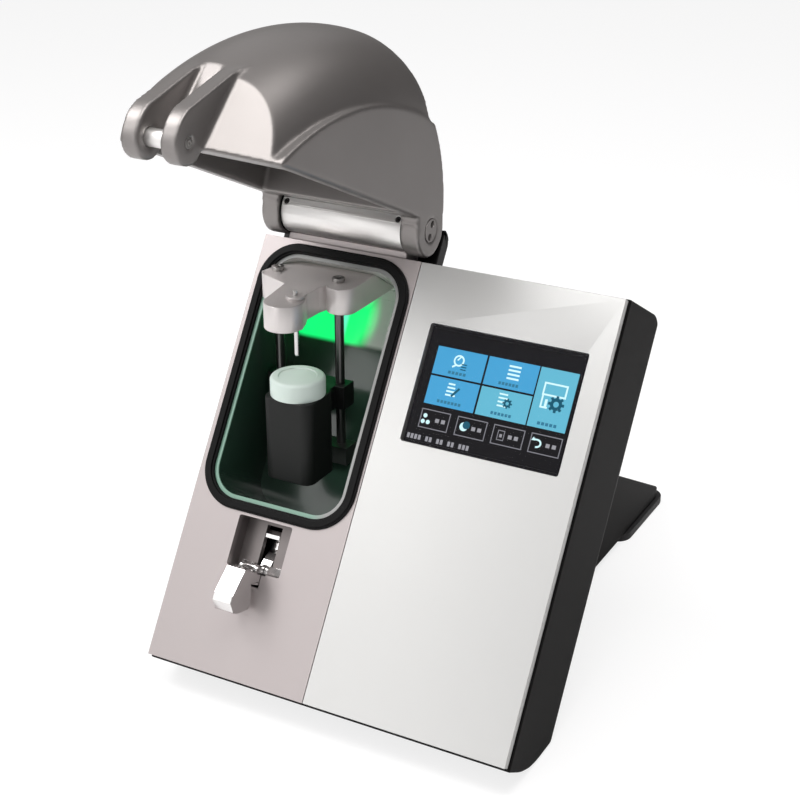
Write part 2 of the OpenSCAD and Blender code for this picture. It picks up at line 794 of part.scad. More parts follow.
// Handle with two cheeks that straddle the hook, relieved where they reach the fork's pin when lifted
module latch_lever() {
    v = lever_pin_v;
    pin_n = fork_pin_n - lever_pin_n;
    pin_v = fork_pin_v - lever_pin_v;
    relief_n = lever_pin_n + pin_n * cos(lever_open) + pin_v * sin(lever_open);
    relief_v = v + pin_v * cos(lever_open) - pin_n * sin(lever_open);
    color("#e9e6e4") leaning() difference() {
        union() {
            latch_across(lever_x0, lever_x1) difference() {
                polygon([[20.6, v - 2.1], [27.3, v - 20], [27.3, v - 24.4], [21, v - 29.6],
                    [15.7, v - 29.5], [4.2, v - 25.6], [3.6, v - 19.8], [9, v - 10.1], [13.5, v - 6.5]]);
                soften([27.3, v - 24.4], [21, v - 29.6], [15.7, v - 29.5], 3);
                soften([21, v - 29.6], [15.7, v - 29.5], [4.2, v - 25.6], 6);
                soften([15.7, v - 29.5], [4.2, v - 25.6], [3.6, v - 19.8], 2.5);
                soften([20.6, v - 2.1], [27.3, v - 20], [27.3, v - 24.4], 3);
            }
            for (x = [lever_x0, lever_x1 - lever_arm_t]) latch_across(x, x + lever_arm_t) {
                translate([lever_pin_n, v]) circle(lever_eye);
                translate([hook_pin_n, hook_pin_v]) circle(hook_eye);
                polygon([[lever_pin_n + 1, v + lever_eye - 0.3], [20.6, v - 2.1], [9, v - 10.1],
                    [hook_pin_n + 1, hook_pin_v - hook_eye + 0.2], [hook_pin_n - 2.9, hook_pin_v + 2],
                    [lever_pin_n - 2.9, v + 1.8]]);
            }
        }
        rod_x(0, panel_w, latch_pin_r + run_gap, -lever_pin_n, v);
        rod_x(0, panel_w, latch_pin_r, -hook_pin_n, hook_pin_v);
        rod_x(0, panel_w, fork_pin_r + hook_gap, -relief_n, relief_v);
    }
}

module hook_pin() {
    color("#e2e0de") leaning() rod_x(lever_x0, lever_x1, latch_pin_r, -hook_pin_n, hook_pin_v);
}

// Drawn with the hook's pin at the origin and the fork's pin straight up, then swung back
module draw_hook() {
    hold = fork_pin_r + hook_gap;
    bar_in = latch_pin_r + hook_gap + 0.3;
    bar_out = bar_in + 4;
    end_out = hold + 4;
    end = pin_reach + hold + 4;
    color("#dedbd9") leaning() translate([0, -hook_pin_n, hook_pin_v])
        rotate([pin_lean - hook_back, 0, 0]) difference() {
            union() {
                latch_across(chamber_x - hook_w / 2, chamber_x + hook_w / 2) difference() {
                    union() {
                        circle(hook_eye);
                        polygon([[0, -hook_eye], [-hook_eye, 0], [-bar_out, 6], [-bar_out, pin_reach - 8],
                            [-end_out, pin_reach - 3], [-end_out, end], [3, end], [hold, end - 4],
                            [-hold, pin_reach], [-bar_in, pin_reach - 9], [-bar_in, 2], [0, 2]]);
                    }
                    translate([0, pin_reach]) circle(hold);
                    soften([-end_out, pin_reach], [-end_out, end], [3, end], 4);
                }
                latch_across(chamber_x - slot_w / 2 + 0.5, chamber_x + slot_w / 2 - 0.5) difference() {
                    polygon([[-2.5, end], [3, end], [hold, end - 4], [hold - 1, end - 6.5], [-2.5, end - 6]]);
                    translate([0, pin_reach]) circle(hold);
                }
            }
            rod_x(0, panel_w, latch_pin_r + run_gap, 0, 0);
        }
}

module touch_glass() {
    color("#16181c") leaning() facing(glass_sunk, glass_sunk + glass_t)
        rounded(screen_x0 + 0.4, screen_x0 + screen_w - 0.4, screen_v + 0.4, screen_v + screen_h - 0.4, 1.2);
}

module display_module() {
    sx1 = screen_x0 + screen_w;
    color("#5b5f63") leaning() {
        box(screen_x0 + 2, sx1 - 2, glass_sunk + glass_t, panel_t, screen_v + 2, screen_v + screen_h - 2);
        box(screen_x0 - 4, sx1 + 3, panel_t, panel_t + 4, screen_v - 4, screen_v + screen_h + 4);
    }
}

// Plan view of the bracket that carries the probe and the guide rods
bracket_x = chamber_x - 4;
bracket_y = probe_y - 7.5;
bracket_r = 12.4;
left_r = 10.5;
right_r = 9.8;

module bracket_plan() {
    left = [rod_x0 + 1.5, rod_y - 2];
    right = [rod_x1 + 5, rod_y - 4.5];
    deep = rod_y + 56;
    difference() {
        union() {
            translate([bracket_x, bracket_y]) circle(bracket_r);
            polygon([[bracket_x - bracket_r, bracket_y], [bracket_x + bracket_r, bracket_y],
                [bracket_x + 10.8, bracket_y + 7.5], [bracket_x + 6.8, bracket_y + 16.5],
                [bracket_x + 7.3, rod_y - 16], [right.x - 4.5, rod_y + 6], [left.x + 12, rod_y + 6],
                [bracket_x - 16, rod_y - 19.4]]);
            translate(left) circle(left_r);
            polygon([[left.x - 4, left.y - 9.7], [bracket_x - 16, rod_y - 19.4], [bracket_x + 6.8, rod_y - 22],
                [bracket_x + 6.8, rod_y + 6], [left.x - 4, rod_y + 6]]);
            translate(right) circle(right_r);
            polygon([[left.x - left_r, left.y], [right.x + right_r, right.y], [right.x + right_r, deep],
                [left.x - left_r, deep]]);
        }
        translate([chamber_x, probe_y]) circle(sleeve_r + 0.02);
    }
}

module probe_bracket() {
    color("#d3cfcd") intersection() {
        upright() translate([0, 0, bracket_z]) linear_extrude(bracket_t) bracket_plan();
        leaning() facing(-far / 2, chamber_d - liner_t) room_outline();
    }
}

module bracket_screws() {
    color("#9a9796") upright() for (x = [rod_x0, rod_x1]) translate([x, rod_y, bracket_top])
        difference() {
            cylinder(r = 4, h = 2.6);
            translate([0, 0, 1]) cylinder(r = 2, h = 3, $fn = 6);
        }
}

module probe_sleeve() {
    color("#c9c6c3") upright() translate([chamber_x, probe_y, 0]) difference() {
        union() {
            translate([0, 0, bracket_z - 3]) cylinder(r = sleeve_r, h = bracket_t + 3);
            translate([0, 0, bracket_top]) cylinder(r = sleeve_r + 1.5, h = 2);
        }
        translate([0, 0, collar_z - 0.2]) cylinder(r = spring_r + 0.2, h = bracket_t - 0.5);
        translate([0, 0, bracket_z - 3 - over]) cylinder(r = probe_r + run_gap, h = far);
    }
}

module probe_rod() {
    color("#d8ddd9") upright() translate([chamber_x, probe_y, 0]) {
        translate([0, 0, probe_tip_z + probe_r]) sphere(r = probe_r);
        translate([0, 0, probe_tip_z + probe_r]) cylinder(r = probe_r, h = bracket_top + 3 - probe_tip_z);
        translate([0, 0, collar_z]) cylinder(r = spring_r - 0.1, h = 1.5);
    }
}

module probe_spring() {
    color("#8f8d8b") upright() translate([chamber_x, probe_y, collar_z + 1.5]) difference() {
        cylinder(r = spring_r, h = bracket_t - 2.5);
        translate([0, 0, -over]) cylinder(r = probe_r + 0.4, h = far);
    }
}

module guide_rods() {
    color("#3b3e3d") intersection() {
        upright() for (x = [rod_x0, rod_x1]) translate([x, rod_y, 0]) cylinder(r = rod_r, h = bracket_z);
        leaning() box(0, panel_w, 0, chamber_d - liner_t, 0, panel_h);
    }
}

// Bar on the chamber's back wall that the rods' lower ends stand in
module rod_socket() {
    low = 96;
    color("#2c3430") difference() {
        intersection() {
            upright() translate([room_x0 + 1, rod_y - 9, low]) cube([rod_x1 - room_x0 + 8, 30, 12]);
            leaning() box(0, panel_w, 0, chamber_d - liner_t, 0, panel_h);
        }
        upright() for (x = [rod_x0, rod_x1]) translate([x, rod_y, 0]) cylinder(r = rod_r, h = far);
    }
}

module rest_carriage() {
    color("#303433") upright() difference() {
        union() {
            translate([rod_x0 - 6.5, rod_y - 6.5, carriage_z]) cube([rod_pitch + 13, 13, carriage_h]);
            translate([chamber_x - 12, probe_y + rest_d / 2, carriage_z])
                cube([20, rod_y - 6.5 - probe_y - rest_d / 2 + 1, carriage_h]);
        }
        for (x = [rod_x0, rod_x1]) translate([x, rod_y, 0]) cylinder(r = rod_r + run_gap, h = far);
    }
}

module watch_rest() {
    color("#161918") upright() translate([0, 0, rest_low_z]) linear_extrude(rest_h)
        rounded(chamber_x - rest_w / 2, chamber_x + rest_w / 2, probe_y - rest_d / 2,
            probe_y + rest_d / 2, 7);
}

module rest_pad() {
    crown = 2;
    color("#d9e6df") upright() translate([chamber_x, probe_y, rest_top_z]) {
        cylinder(r = pad_r, h = pad_t - crown);
        translate([0, 0, pad_t - crown]) cylinder(r = pad_r - crown, h = crown);
    }
}

// Side view of the foot: from the housing's back down to the table
function foot_line_z(y) = foot_top_z - (y - foot_top_y) * tan(foot_slope);
function back_y(z) = (body_d + z * sin(lean)) / cos(lean);

module foot_side(inset) {
    low = foot_low + inset;
    drop = inset / cos(foot_slope);
    tip = foot_reach - 2 - inset;
    difference() {
        polygon([[back_y(low), low], [back_y(foot_line_z(foot_top_y)), foot_top_z], [tip, foot_line_z(tip)],
            [tip, low]]);
        if (inset > 0) polygon([[0, far], [0, foot_line_z(0) - drop], [far * 2, foot_line_z(far * 2) - drop],
            [far * 2, far]]);
        if (inset > 0) polygon([[back_y(-far) + inset, -far], [back_y(far) + inset, far], [-far, far],
            [-far, -far]]);
    }
}

module rear_foot() {
    color("#1f1e1f") difference() {
        intersection() {
            upright() across(foot_x0, foot_x0 + foot_w) foot_side(0);
            upright() translate([0, 0, -far / 2]) linear_extrude(far)
                rounded(foot_x0, foot_x0 + foot_w, -20, foot_reach - 2, 14);
        }
        upright() across(foot_x0 + foot_wall, foot_x0 + foot_w - foot_wall) foot_side(foot_wall);
        leaning() foot_holes(2.1, body_d - over, body_d + 2 * foot_wall);
    }
}

module foot_screws() {
    color("#8d8b89") leaning() {
        foot_holes(2.05, body_d - wall - over, body_d + foot_wall - 0.5);
        foot_holes(4, body_d - wall - 2.5, body_d - wall);
    }
}

module rear_sole() {
    color("#18181a") upright() translate([0, 0, -lift]) linear_extrude(rear_sole_t)
        rounded(foot_x0 - 2.5, foot_x0 + foot_w + 2.5, foot_reach - rear_sole_l, foot_reach, 12);
}

// The front feet lie on the flat of the housing's sole, behind its rounding
module front_feet() {
    side = 14;
    y0 = bend_d * cos(lean) - low_bevel * sin(lean) + low_bend_r * tan(lean / 2) + 1.5;
    color("#18181a") upright() for (x = [side, panel_w - side - front_foot_w]) translate([0, 0, -lift])
        linear_extrude(front_sole_t) rounded(x, x + front_foot_w, y0, y0 + front_foot_l, 5);
}

module cover_outline(gap) {
    rounded(panel_w / 2 - cover_w / 2 - gap, panel_w / 2 + cover_w / 2 + gap, cover_v - cover_h / 2 - gap,
        cover_v + cover_h / 2 + gap, 5);
}

module at_cover_corners() {
    for (x = [-1, 1], v = [-1, 1])
        translate([panel_w / 2 + x * (cover_w / 2 - 4), 0, cover_v + v * (cover_h / 2 - 4)]) children();
}

module rear_cover() {
    slots = 9;
    pitch = 12;
    color("#232223") leaning() difference() {
        facing(body_d - cover_t, body_d) cover_outline(0);
        for (i = [0:slots - 1]) facing(body_d - cover_t - over, body_d + over)
            rounded(panel_w / 2 + (i - (slots - 1) / 2) * pitch - 2, panel_w / 2 + (i - (slots - 1) / 2) * pitch + 2,
                cover_v - cover_h / 2 + 12, cover_v + cover_h / 2 - 12, 1.9);
    }
}

module cover_screws() {
    color("#6d6b6a") leaning() at_cover_corners() difference() {
        rod_d(0, 0, 2.6, body_d, body_d + 1.4);
        translate([0, body_d + 0.6, 0]) rotate([-90, 0, 0]) cylinder(r = 1.2, h = 2, $fn = 6);
    }
}

module mains_inlet() {
    w = inlet_w - fit;
    h = inlet_h - fit;
    color("#151516") leaning() difference() {
        union() {
            box(inlet_x - w / 2, inlet_x + w / 2, body_d - 18, body_d, inlet_v - h / 2, inlet_v + h / 2);
            facing(body_d, body_d + 2) rounded(inlet_x - w / 2 - 2, inlet_x + w / 2 + 2, inlet_v - h / 2 - 2,
                inlet_v + h / 2 + 2, 2);
        }
        facing(body_d - 14, body_d + 3) rounded(inlet_x - w / 2 + 2, inlet_x + w / 2 - 2, inlet_v - h / 2 + 2,
            inlet_v + h / 2 - 2, 3);
    }
    color("#c9b487") leaning() for (x = [-7, 0, 7])
        box(inlet_x + x - 1, inlet_x + x + 1, body_d - 15, body_d - 2, inlet_v - 2 + (x == 0 ? 2 : -1),
            inlet_v + 2 + (x == 0 ? 2 : -1));
}

rocker_pin_d = body_d - 1;

module rocker_frame() {
    w = rocker_w - fit;
    h = rocker_h - fit;
    color("#1a1a1b") leaning() difference() {
        union() {
            box(inlet_x - w / 2, inlet_x + w / 2, body_d - 14, body_d, rocker_v - h / 2, rocker_v + h / 2);
            facing(body_d, body_d + 1.8) rounded(inlet_x - w / 2 - 2, inlet_x + w / 2 + 2,
                rocker_v - h / 2 - 2, rocker_v + h / 2 + 2, 1.5);
        }
        box(inlet_x - w / 2 + 2, inlet_x + w / 2 - 2, body_d - 8, body_d + 3, rocker_v - h / 2 + 1.5,
            rocker_v + h / 2 - 1.5);
        translate([inlet_x, rocker_pin_d, rocker_v - h / 2 + 0.5]) cylinder(r = 1, h = h - 1);
    }
}

module power_rocker() {
    w = rocker_w - fit - 5;
    h = rocker_h - fit - 3.6;
    tilt = 9;
    color("#b3241f") leaning() translate([inlet_x, rocker_pin_d, rocker_v]) rotate([0, 0, tilt]) {
        translate([0, 0, -h / 2]) linear_extrude(h) difference() {
            polygon([[-w / 2, 0], [-2, -3], [2, -3], [w / 2, 0], [w / 2 - 0.4, 3], [0, 2], [0.4 - w / 2, 3]]);
        }
        translate([0, 0, -h / 2 - 1]) cylinder(r = 0.95, h = h + 2);
    }
}

// Pieces inside the housing, seated on its back wall
back_in = body_d - wall;
pump_x = chamber_panel_w + 11.5;
pump_v = 60;
pump_w = 32;
pump_head_l = 28;
pump_motor_l = 38;
pump_motor_r = 14;
valve_w = 32;
valve_h = 24;
valve_v = 138;
board_t = 1.6;
board_d = panel_t + 18;
board_x1 = panel_w - 18;
board_v0 = screen_v - 19;
board_v1 = screen_v + screen_h + 6;
supply_w = 44;
supply_h = 66;
supply_v = pump_v + pump_w / 2 + 6;
post_r = 3;

module air_pump() {
    motor_x = pump_x + pump_head_l;
    motor_d = back_in - pump_motor_r - 4;
    color("#77797b") leaning() {
        box(pump_x, motor_x, back_in - pump_w - 2, back_in, pump_v - pump_w / 2, pump_v + pump_w / 2);
        rod_x(motor_x, motor_x + pump_motor_l, pump_motor_r, motor_d, pump_v);
        box(motor_x + 6, motor_x + 16, back_in - 6, back_in, pump_v - 13, pump_v + 13);
        rod_x(motor_x + pump_motor_l, motor_x + pump_motor_l + 3, 5, motor_d, pump_v);
    }
}

module valve_block() {
    color("#b5b7b9") leaning() {
        box(pump_x, pump_x + valve_w, back_in - 22, back_in, valve_v - valve_h / 2, valve_v + valve_h / 2);
        rod_d(pump_x + 8, valve_v, 7, back_in - 40, back_in - 22);
    }
}

module pressure_sensor() {
    color("#3f6f9a") leaning() {
        rod_d(pump_x + valve_w - 8, valve_v, 6, back_in - 32, back_in - 22);
        rod_d(pump_x + valve_w - 8, valve_v, 3, back_in - 38, back_in - 32);
    }
}

// Air lines from the pump's head to the valve block and on to the chamber block
module air_tubes() {
    r = 2;
    d = back_in - 12;
    low = pump_v + pump_w / 2;
    color("#d7e2e6") leaning() {
        translate([pump_x + pump_head_l / 2, d, low]) cylinder(r = r, h = valve_v - valve_h / 2 - low);
        rod_x(mouth_x1 + block_t - 1, pump_x, r, d, valve_v + 2);
    }
}

module main_board() {
    front = board_d + board_t;
    color("#2b6b3f") leaning() {
        box(screen_x0, board_x1, board_d, front, board_v0, board_v1);
        box(screen_x0 + 18, screen_x0 + 44, front, front + 3.4, board_v0 + 40, board_v0 + 66);
        box(board_x1 - 36, board_x1 - 10, front, front + 10, board_v0 + 10, board_v0 + 26);
    }
    color("#a8a6a2") leaning() for (x = [screen_x0 + 6, board_x1 - 6], v = [board_v0 + 6, board_v1 - 6])
        rod_d(x, v, post_r, front, back_in);
}

module power_supply() {
    x0 = panel_w - 6 - supply_w;
    color("#8f9194") leaning() box(x0, x0 + supply_w, back_in - 30, back_in - 19, supply_v, supply_v + supply_h);
    color("#a8a6a2") leaning() for (v = [supply_v + 5, supply_v + supply_h - 5])
        rod_d(x0 + 6, v, post_r, back_in - 19, back_in);
}

housing();
chamber_block();
display_panel();
chamber_seal();
chamber_liner();
light_window();
light_board();
hinge_block();
hinge_barrel();
barrel_screws();
hinge_washers();
hinge_shaft();
shaft_plugs();
lid_shell();
fork_pin();
fork_screws();
latch_base();
latch_lever();
lever_pin();
draw_hook();
hook_pin();
touch_glass();
display_module();
probe_bracket();
bracket_screws();
probe_sleeve();
probe_rod();
probe_spring();
guide_rods();
rod_socket();
rest_carriage();
watch_rest();
rest_pad();
rear_foot();
foot_screws();
rear_sole();
front_feet();
rear_cover();
cover_screws();
mains_inlet();
rocker_frame();
power_rocker();
air_pump();
valve_block();
pressure_sensor();
air_tubes();
main_board();
power_supply();
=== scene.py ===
import bpy
import json
import math
from mathutils import Matrix, Vector

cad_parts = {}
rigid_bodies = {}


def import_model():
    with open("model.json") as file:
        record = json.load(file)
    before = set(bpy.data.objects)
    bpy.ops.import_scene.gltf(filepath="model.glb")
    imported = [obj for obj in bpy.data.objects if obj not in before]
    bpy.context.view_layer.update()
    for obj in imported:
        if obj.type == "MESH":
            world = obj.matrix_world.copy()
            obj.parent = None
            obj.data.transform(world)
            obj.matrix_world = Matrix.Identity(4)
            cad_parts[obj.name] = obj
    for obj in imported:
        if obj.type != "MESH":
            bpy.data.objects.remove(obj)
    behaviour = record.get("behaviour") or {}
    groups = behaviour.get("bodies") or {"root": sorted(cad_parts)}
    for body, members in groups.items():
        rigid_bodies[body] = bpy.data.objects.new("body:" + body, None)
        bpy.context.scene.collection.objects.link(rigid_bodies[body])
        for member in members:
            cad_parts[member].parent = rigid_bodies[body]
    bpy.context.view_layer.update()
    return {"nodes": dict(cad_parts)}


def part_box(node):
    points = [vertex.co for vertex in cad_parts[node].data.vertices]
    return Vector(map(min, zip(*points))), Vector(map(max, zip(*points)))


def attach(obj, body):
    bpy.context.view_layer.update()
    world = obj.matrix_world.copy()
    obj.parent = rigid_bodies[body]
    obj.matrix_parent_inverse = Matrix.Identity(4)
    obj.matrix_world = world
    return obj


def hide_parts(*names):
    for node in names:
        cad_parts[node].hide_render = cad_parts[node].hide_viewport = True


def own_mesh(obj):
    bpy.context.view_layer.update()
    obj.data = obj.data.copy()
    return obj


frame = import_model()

nodes = frame["nodes"]
print("frame loaded:", len(nodes), "nodes")


def deselectAll():
    bpy.ops.object.select_all(action="DESELECT")


def selectOnly(obj):
    deselectAll()
    obj.select_set(True)
    bpy.context.view_layer.objects.active = obj


deselectAll()
scene = bpy.context.scene
scene.view_settings.view_transform = "Standard"

# camera at the photograph's place, in metres and degrees
cameraSet = {
    "place": (0.43614, -0.87821, 0.59877),
    "lookDown": 24.32,
    "lookLeft": 28.51,
    "lens": 73.6,
    "sensor": 36,
    "clipStart": 0.05,
}


def addCamera(s):
    bpy.ops.object.camera_add(location=s["place"])
    camera = bpy.context.object
    camera.rotation_euler = (math.radians(90 - s["lookDown"]), 0, math.radians(s["lookLeft"]))
    camera.data.lens = s["lens"]
    camera.data.sensor_width = s["sensor"]
    camera.data.clip_start = s["clipStart"]
    scene.camera = camera
    deselectAll()


addCamera(cameraSet)

# turn is measured from the front towards the right, rise above the table, both in degrees;
# far, wide and the point that all lamps look at are in metres
lampSet = {
    "top": {"turn": 27, "rise": 71, "far": 1.5, "wide": 0.85, "watts": 15,
            "colour": (1.0, 0.985, 0.97)},
    "left": {"turn": -62, "rise": 50, "far": 1.6, "wide": 0.6, "watts": 10,
             "colour": (1.0, 0.985, 0.98)},
    "frontLeft": {"turn": -43, "rise": 39, "far": 1.6, "wide": 1.05, "watts": 5.6,
                  "colour": (1.0, 0.99, 0.985)},
    "frontLow": {"turn": -22, "rise": 4, "far": 1.7, "wide": 0.9, "watts": 3.2,
                 "colour": (1.0, 0.985, 0.98)},
    "backRight": {"turn": 148, "rise": 60, "far": 1.6, "wide": 0.5, "watts": 2.5,
                  "colour": (1.0, 0.98, 0.97)},
    "backLeft": {"turn": -150, "rise": 40, "far": 1.6, "wide": 0.9, "watts": 0.8,
                 "colour": (0.98, 0.99, 1.0)},
}
lampAim = (0.0, -0.03, 0.2)


def addLamp(name, s):
    turn, rise = math.radians(s["turn"]), math.radians(s["rise"])
    level = math.cos(rise)
    way = Vector((math.sin(turn) * level, -math.cos(turn) * level, math.sin(rise)))
    bpy.ops.object.light_add(type="AREA", location=Vector(lampAim) + way * s["far"])
    lamp = bpy.context.object
    lamp.name = "lamp_" + name
    lamp.rotation_euler = way.to_track_quat("Z", "Y").to_euler()
    lamp.data.size = s["wide"]
    lamp.data.energy = s["watts"]
    lamp.data.color = s["colour"]
    deselectAll()


for lampName, lampValues in lampSet.items():
    addLamp(lampName, lampValues)


# small steps that the world and the materials are put together from

def addNode(tree, kind, **values):
    node = tree.nodes.new(kind)
    for key, value in values.items():
        node.inputs[key].default_value = value
    return node


def measure(tree, operation, place, other):
    node = tree.nodes.new("ShaderNodeVectorMath")
    node.operation = operation
    node.inputs[1].default_value = other
    tree.links.new(place, node.inputs[0])
    return node.outputs["Value"]


def joinValues(tree, operation, first, second=None, clamp=True):
    join = tree.nodes.new("ShaderNodeMath")
    join.operation = operation
    join.use_clamp = clamp
    tree.links.new(first, join.inputs[0])
    if isinstance(second, float):
        join.inputs[1].default_value = second
    elif second is not None:
        tree.links.new(second, join.inputs[1])
    return join.outputs["Value"]


def fade(tree, socket, start, end, ease="LINEAR", low=0.0, high=1.0):
    ends = {"From Min": start, "From Max": end, "To Min": low, "To Max": high}
    node = addNode(tree, "ShaderNodeMapRange", **ends)
    node.interpolation_type = ease
    tree.links.new(socket, node.inputs["Value"])
    return node.outputs["Result"]


def toneRamp(tree, socket, stops):
    ramp = tree.nodes.new("ShaderNodeValToRGB")
    for element, (place, colour) in zip(ramp.color_ramp.elements, stops):
        element.position = place
        element.color = (*colour, 1)
    tree.links.new(socket, ramp.inputs["Fac"])
    return ramp.outputs["Color"]


def mixColours(tree, share, first, second):
    mix = tree.nodes.new("ShaderNodeMix")
    mix.data_type = "RGBA"
    tree.links.new(share, mix.inputs["Factor"])
    for key, value in (("A", first), ("B", second)):
        if isinstance(value, tuple):
            mix.inputs[key].default_value = (*value, 1)
        else:
            tree.links.new(value, mix.inputs[key])
    return mix.outputs["Result"]


# the camera sees white paper, other rays a room that is brighter towards brightWay
worldSet = {
    "brightWay": (-0.45, -0.72, 0.53),
    "dim": (0.10, 0.095, 0.095),
    "dimTo": 0.25,
    "bright": (0.86, 0.85, 0.85),
    "brightFrom": 0.95,
    "strength": 0.62,
    "paper": (1, 1, 1, 1),
}


def makeWorld(s):
    world = bpy.data.worlds.new("studio")
    scene.world = world
    world.use_nodes = True
    tree = world.node_tree
    room = tree.nodes["Background"]
    room.inputs["Strength"].default_value = s["strength"]
    where = tree.nodes.new("ShaderNodeTexCoord")
    facing = measure(tree, "DOT_PRODUCT", where.outputs["Generated"], s["brightWay"])
    stops = ((s["dimTo"], s["dim"]), (s["brightFrom"], s["bright"]))
    tree.links.new(toneRamp(tree, fade(tree, facing, -1, 1), stops), room.inputs["Color"])
    paper = addNode(tree, "ShaderNodeBackground", Color=s["paper"], Strength=1.0)
    rays = tree.nodes.new("ShaderNodeLightPath")
    mix = tree.nodes.new("ShaderNodeMixShader")
    tree.links.new(rays.outputs["Is Camera Ray"], mix.inputs[0])
    tree.links.new(room.outputs[0], mix.inputs[1])
    tree.links.new(paper.outputs[0], mix.inputs[2])
    tree.links.new(mix.outputs[0], tree.nodes["World Output"].inputs["Surface"])


makeWorld(worldSet)
print("camera, lamps and world set")

# places on the leaning face: x across, v up the face, n out of it, in millimetres
faceSet = {"lean": 33.0, "midX": 125.0, "midY": 180.58, "lift": 24.0}
leanCos = math.cos(math.radians(faceSet["lean"]))
leanSin = math.sin(math.radians(faceSet["lean"]))
faceMatrix = Matrix((
    (0.001, 0, 0, -faceSet["midX"] / 1000),
    (0, 0.001 * leanSin, -0.001 * leanCos, -faceSet["midY"] / 1000),
    (0, 0.001 * leanCos, 0.001 * leanSin, faceSet["lift"] / 1000),
    (0, 0, 0, 1),
))
intoFace = (0.0, leanCos, -leanSin)
upFace = (0.0, leanSin, leanCos)


def facePoint(x, v, n):
    return faceMatrix @ Vector((x, v, n))


# fades between two places, across the face, up it, or at two depths below it

def fadeAcross(tree, socket, ends):
    start, end = (facePoint(x, 0, 0).x for x in ends)
    return fade(tree, socket, start, end, "SMOOTHSTEP")


def fadeUp(tree, socket, ends):
    start, end = (facePoint(0, v, 0).dot(Vector(upFace)) for v in ends)
    return fade(tree, socket, start, end, "SMOOTHSTEP")


def fadeInto(tree, place, ends, low=0.0, high=1.0):
    front = facePoint(0, 0, 0).dot(Vector(intoFace))
    start, end = (front + depth / 1000 for depth in ends)
    return fade(tree, measure(tree, "DOT_PRODUCT", place, intoFace), start, end, "LINEAR", low, high)


# what a setting of a finish drives on the shader
socketOf = {
    "rough": "Roughness",
    "metal": "Metallic",
    "specular": "Specular IOR Level",
    "coat": "Coat Weight",
    "coatRough": "Coat Roughness",
    "sheen": "Sheen Weight",
    "alpha": "Alpha",
}
# blotch: slow change of tone; grain: fine bump, its depth in metres; a finish may set its own
patternSet = {
    "blotch": 0.06, "blotchScale": 28.0, "blotchDetail": 3.0, "blotchEnds": (0.3, 0.7),
    "grain": 0.15, "grainScale": 1800.0, "grainDetail": 2.0, "grainDeep": 0.0001,
    "roughSpread": 0.05, "roughLeast": 0.02,
}


def newMaterial(name, s):
    material = bpy.data.materials.new(name)
    material.use_nodes = True
    shader = material.node_tree.nodes["Principled BSDF"]
    shader.inputs["Base Color"].default_value = (*s["colour"], 1)
    for key, socket in socketOf.items():
        if key in s:
            shader.inputs[socket].default_value = s[key]
    if "light" in s:
        shader.inputs["Emission Color"].default_value = (*s["light"], 1)
        shader.inputs["Emission Strength"].default_value = 1.0
    return material, material.node_tree, shader


def objectPlace(tree, scale=None):
    where = tree.nodes.new("ShaderNodeTexCoord")
    if scale is None:
        return where.outputs["Object"]
    mapping = addNode(tree, "ShaderNodeMapping", Scale=scale)
    tree.links.new(where.outputs["Object"], mapping.inputs["Vector"])
    return mapping.outputs["Vector"]


def tint(colour, share):
    return tuple(min(1.0, c * share) for c in colour)


# a shader with the fine grain, brushed along one way where the finish has a streak
def makeSurface(name, s):
    s = {**patternSet, **s}
    material, tree, shader = newMaterial(name, s)
    grain = addNode(tree, "ShaderNodeTexNoise", Scale=s["grainScale"], Detail=s["grainDetail"])
    tree.links.new(objectPlace(tree, s.get("streak")), grain.inputs["Vector"])
    smooth = max(s["roughLeast"], s["rough"] - s["roughSpread"])
    roughness = fade(tree, grain.outputs["Fac"], 0, 1, "LINEAR", smooth, s["rough"] + s["roughSpread"])
    tree.links.new(roughness, shader.inputs["Roughness"])
    bump = addNode(tree, "ShaderNodeBump", Strength=s["grain"], Distance=s["grainDeep"])
    tree.links.new(grain.outputs["Fac"], bump.inputs["Height"])
    tree.links.new(bump.outputs["Normal"], shader.inputs["Normal"])
    return material, tree, shader


# the same with the slow change of tone
def makeFinish(name, s):
    material, tree, shader = makeSurface(name, s)
    s = {**patternSet, **s}
    blotch = addNode(tree, "ShaderNodeTexNoise", Scale=s["blotchScale"], Detail=s["blotchDetail"])
    tree.links.new(objectPlace(tree), blotch.inputs["Vector"])
    tones = (tint(s["colour"], 1 - s["blotch"]), tint(s["colour"], 1 + s["blotch"]))
    tone = toneRamp(tree, blotch.outputs["Fac"], zip(s["blotchEnds"], tones))
    tree.links.new(tone, shader.inputs["Base Color"])
    return material


def dress(node, material):
    obj = nodes[node]
    obj.data.materials.clear()
    obj.data.materials.append(material)


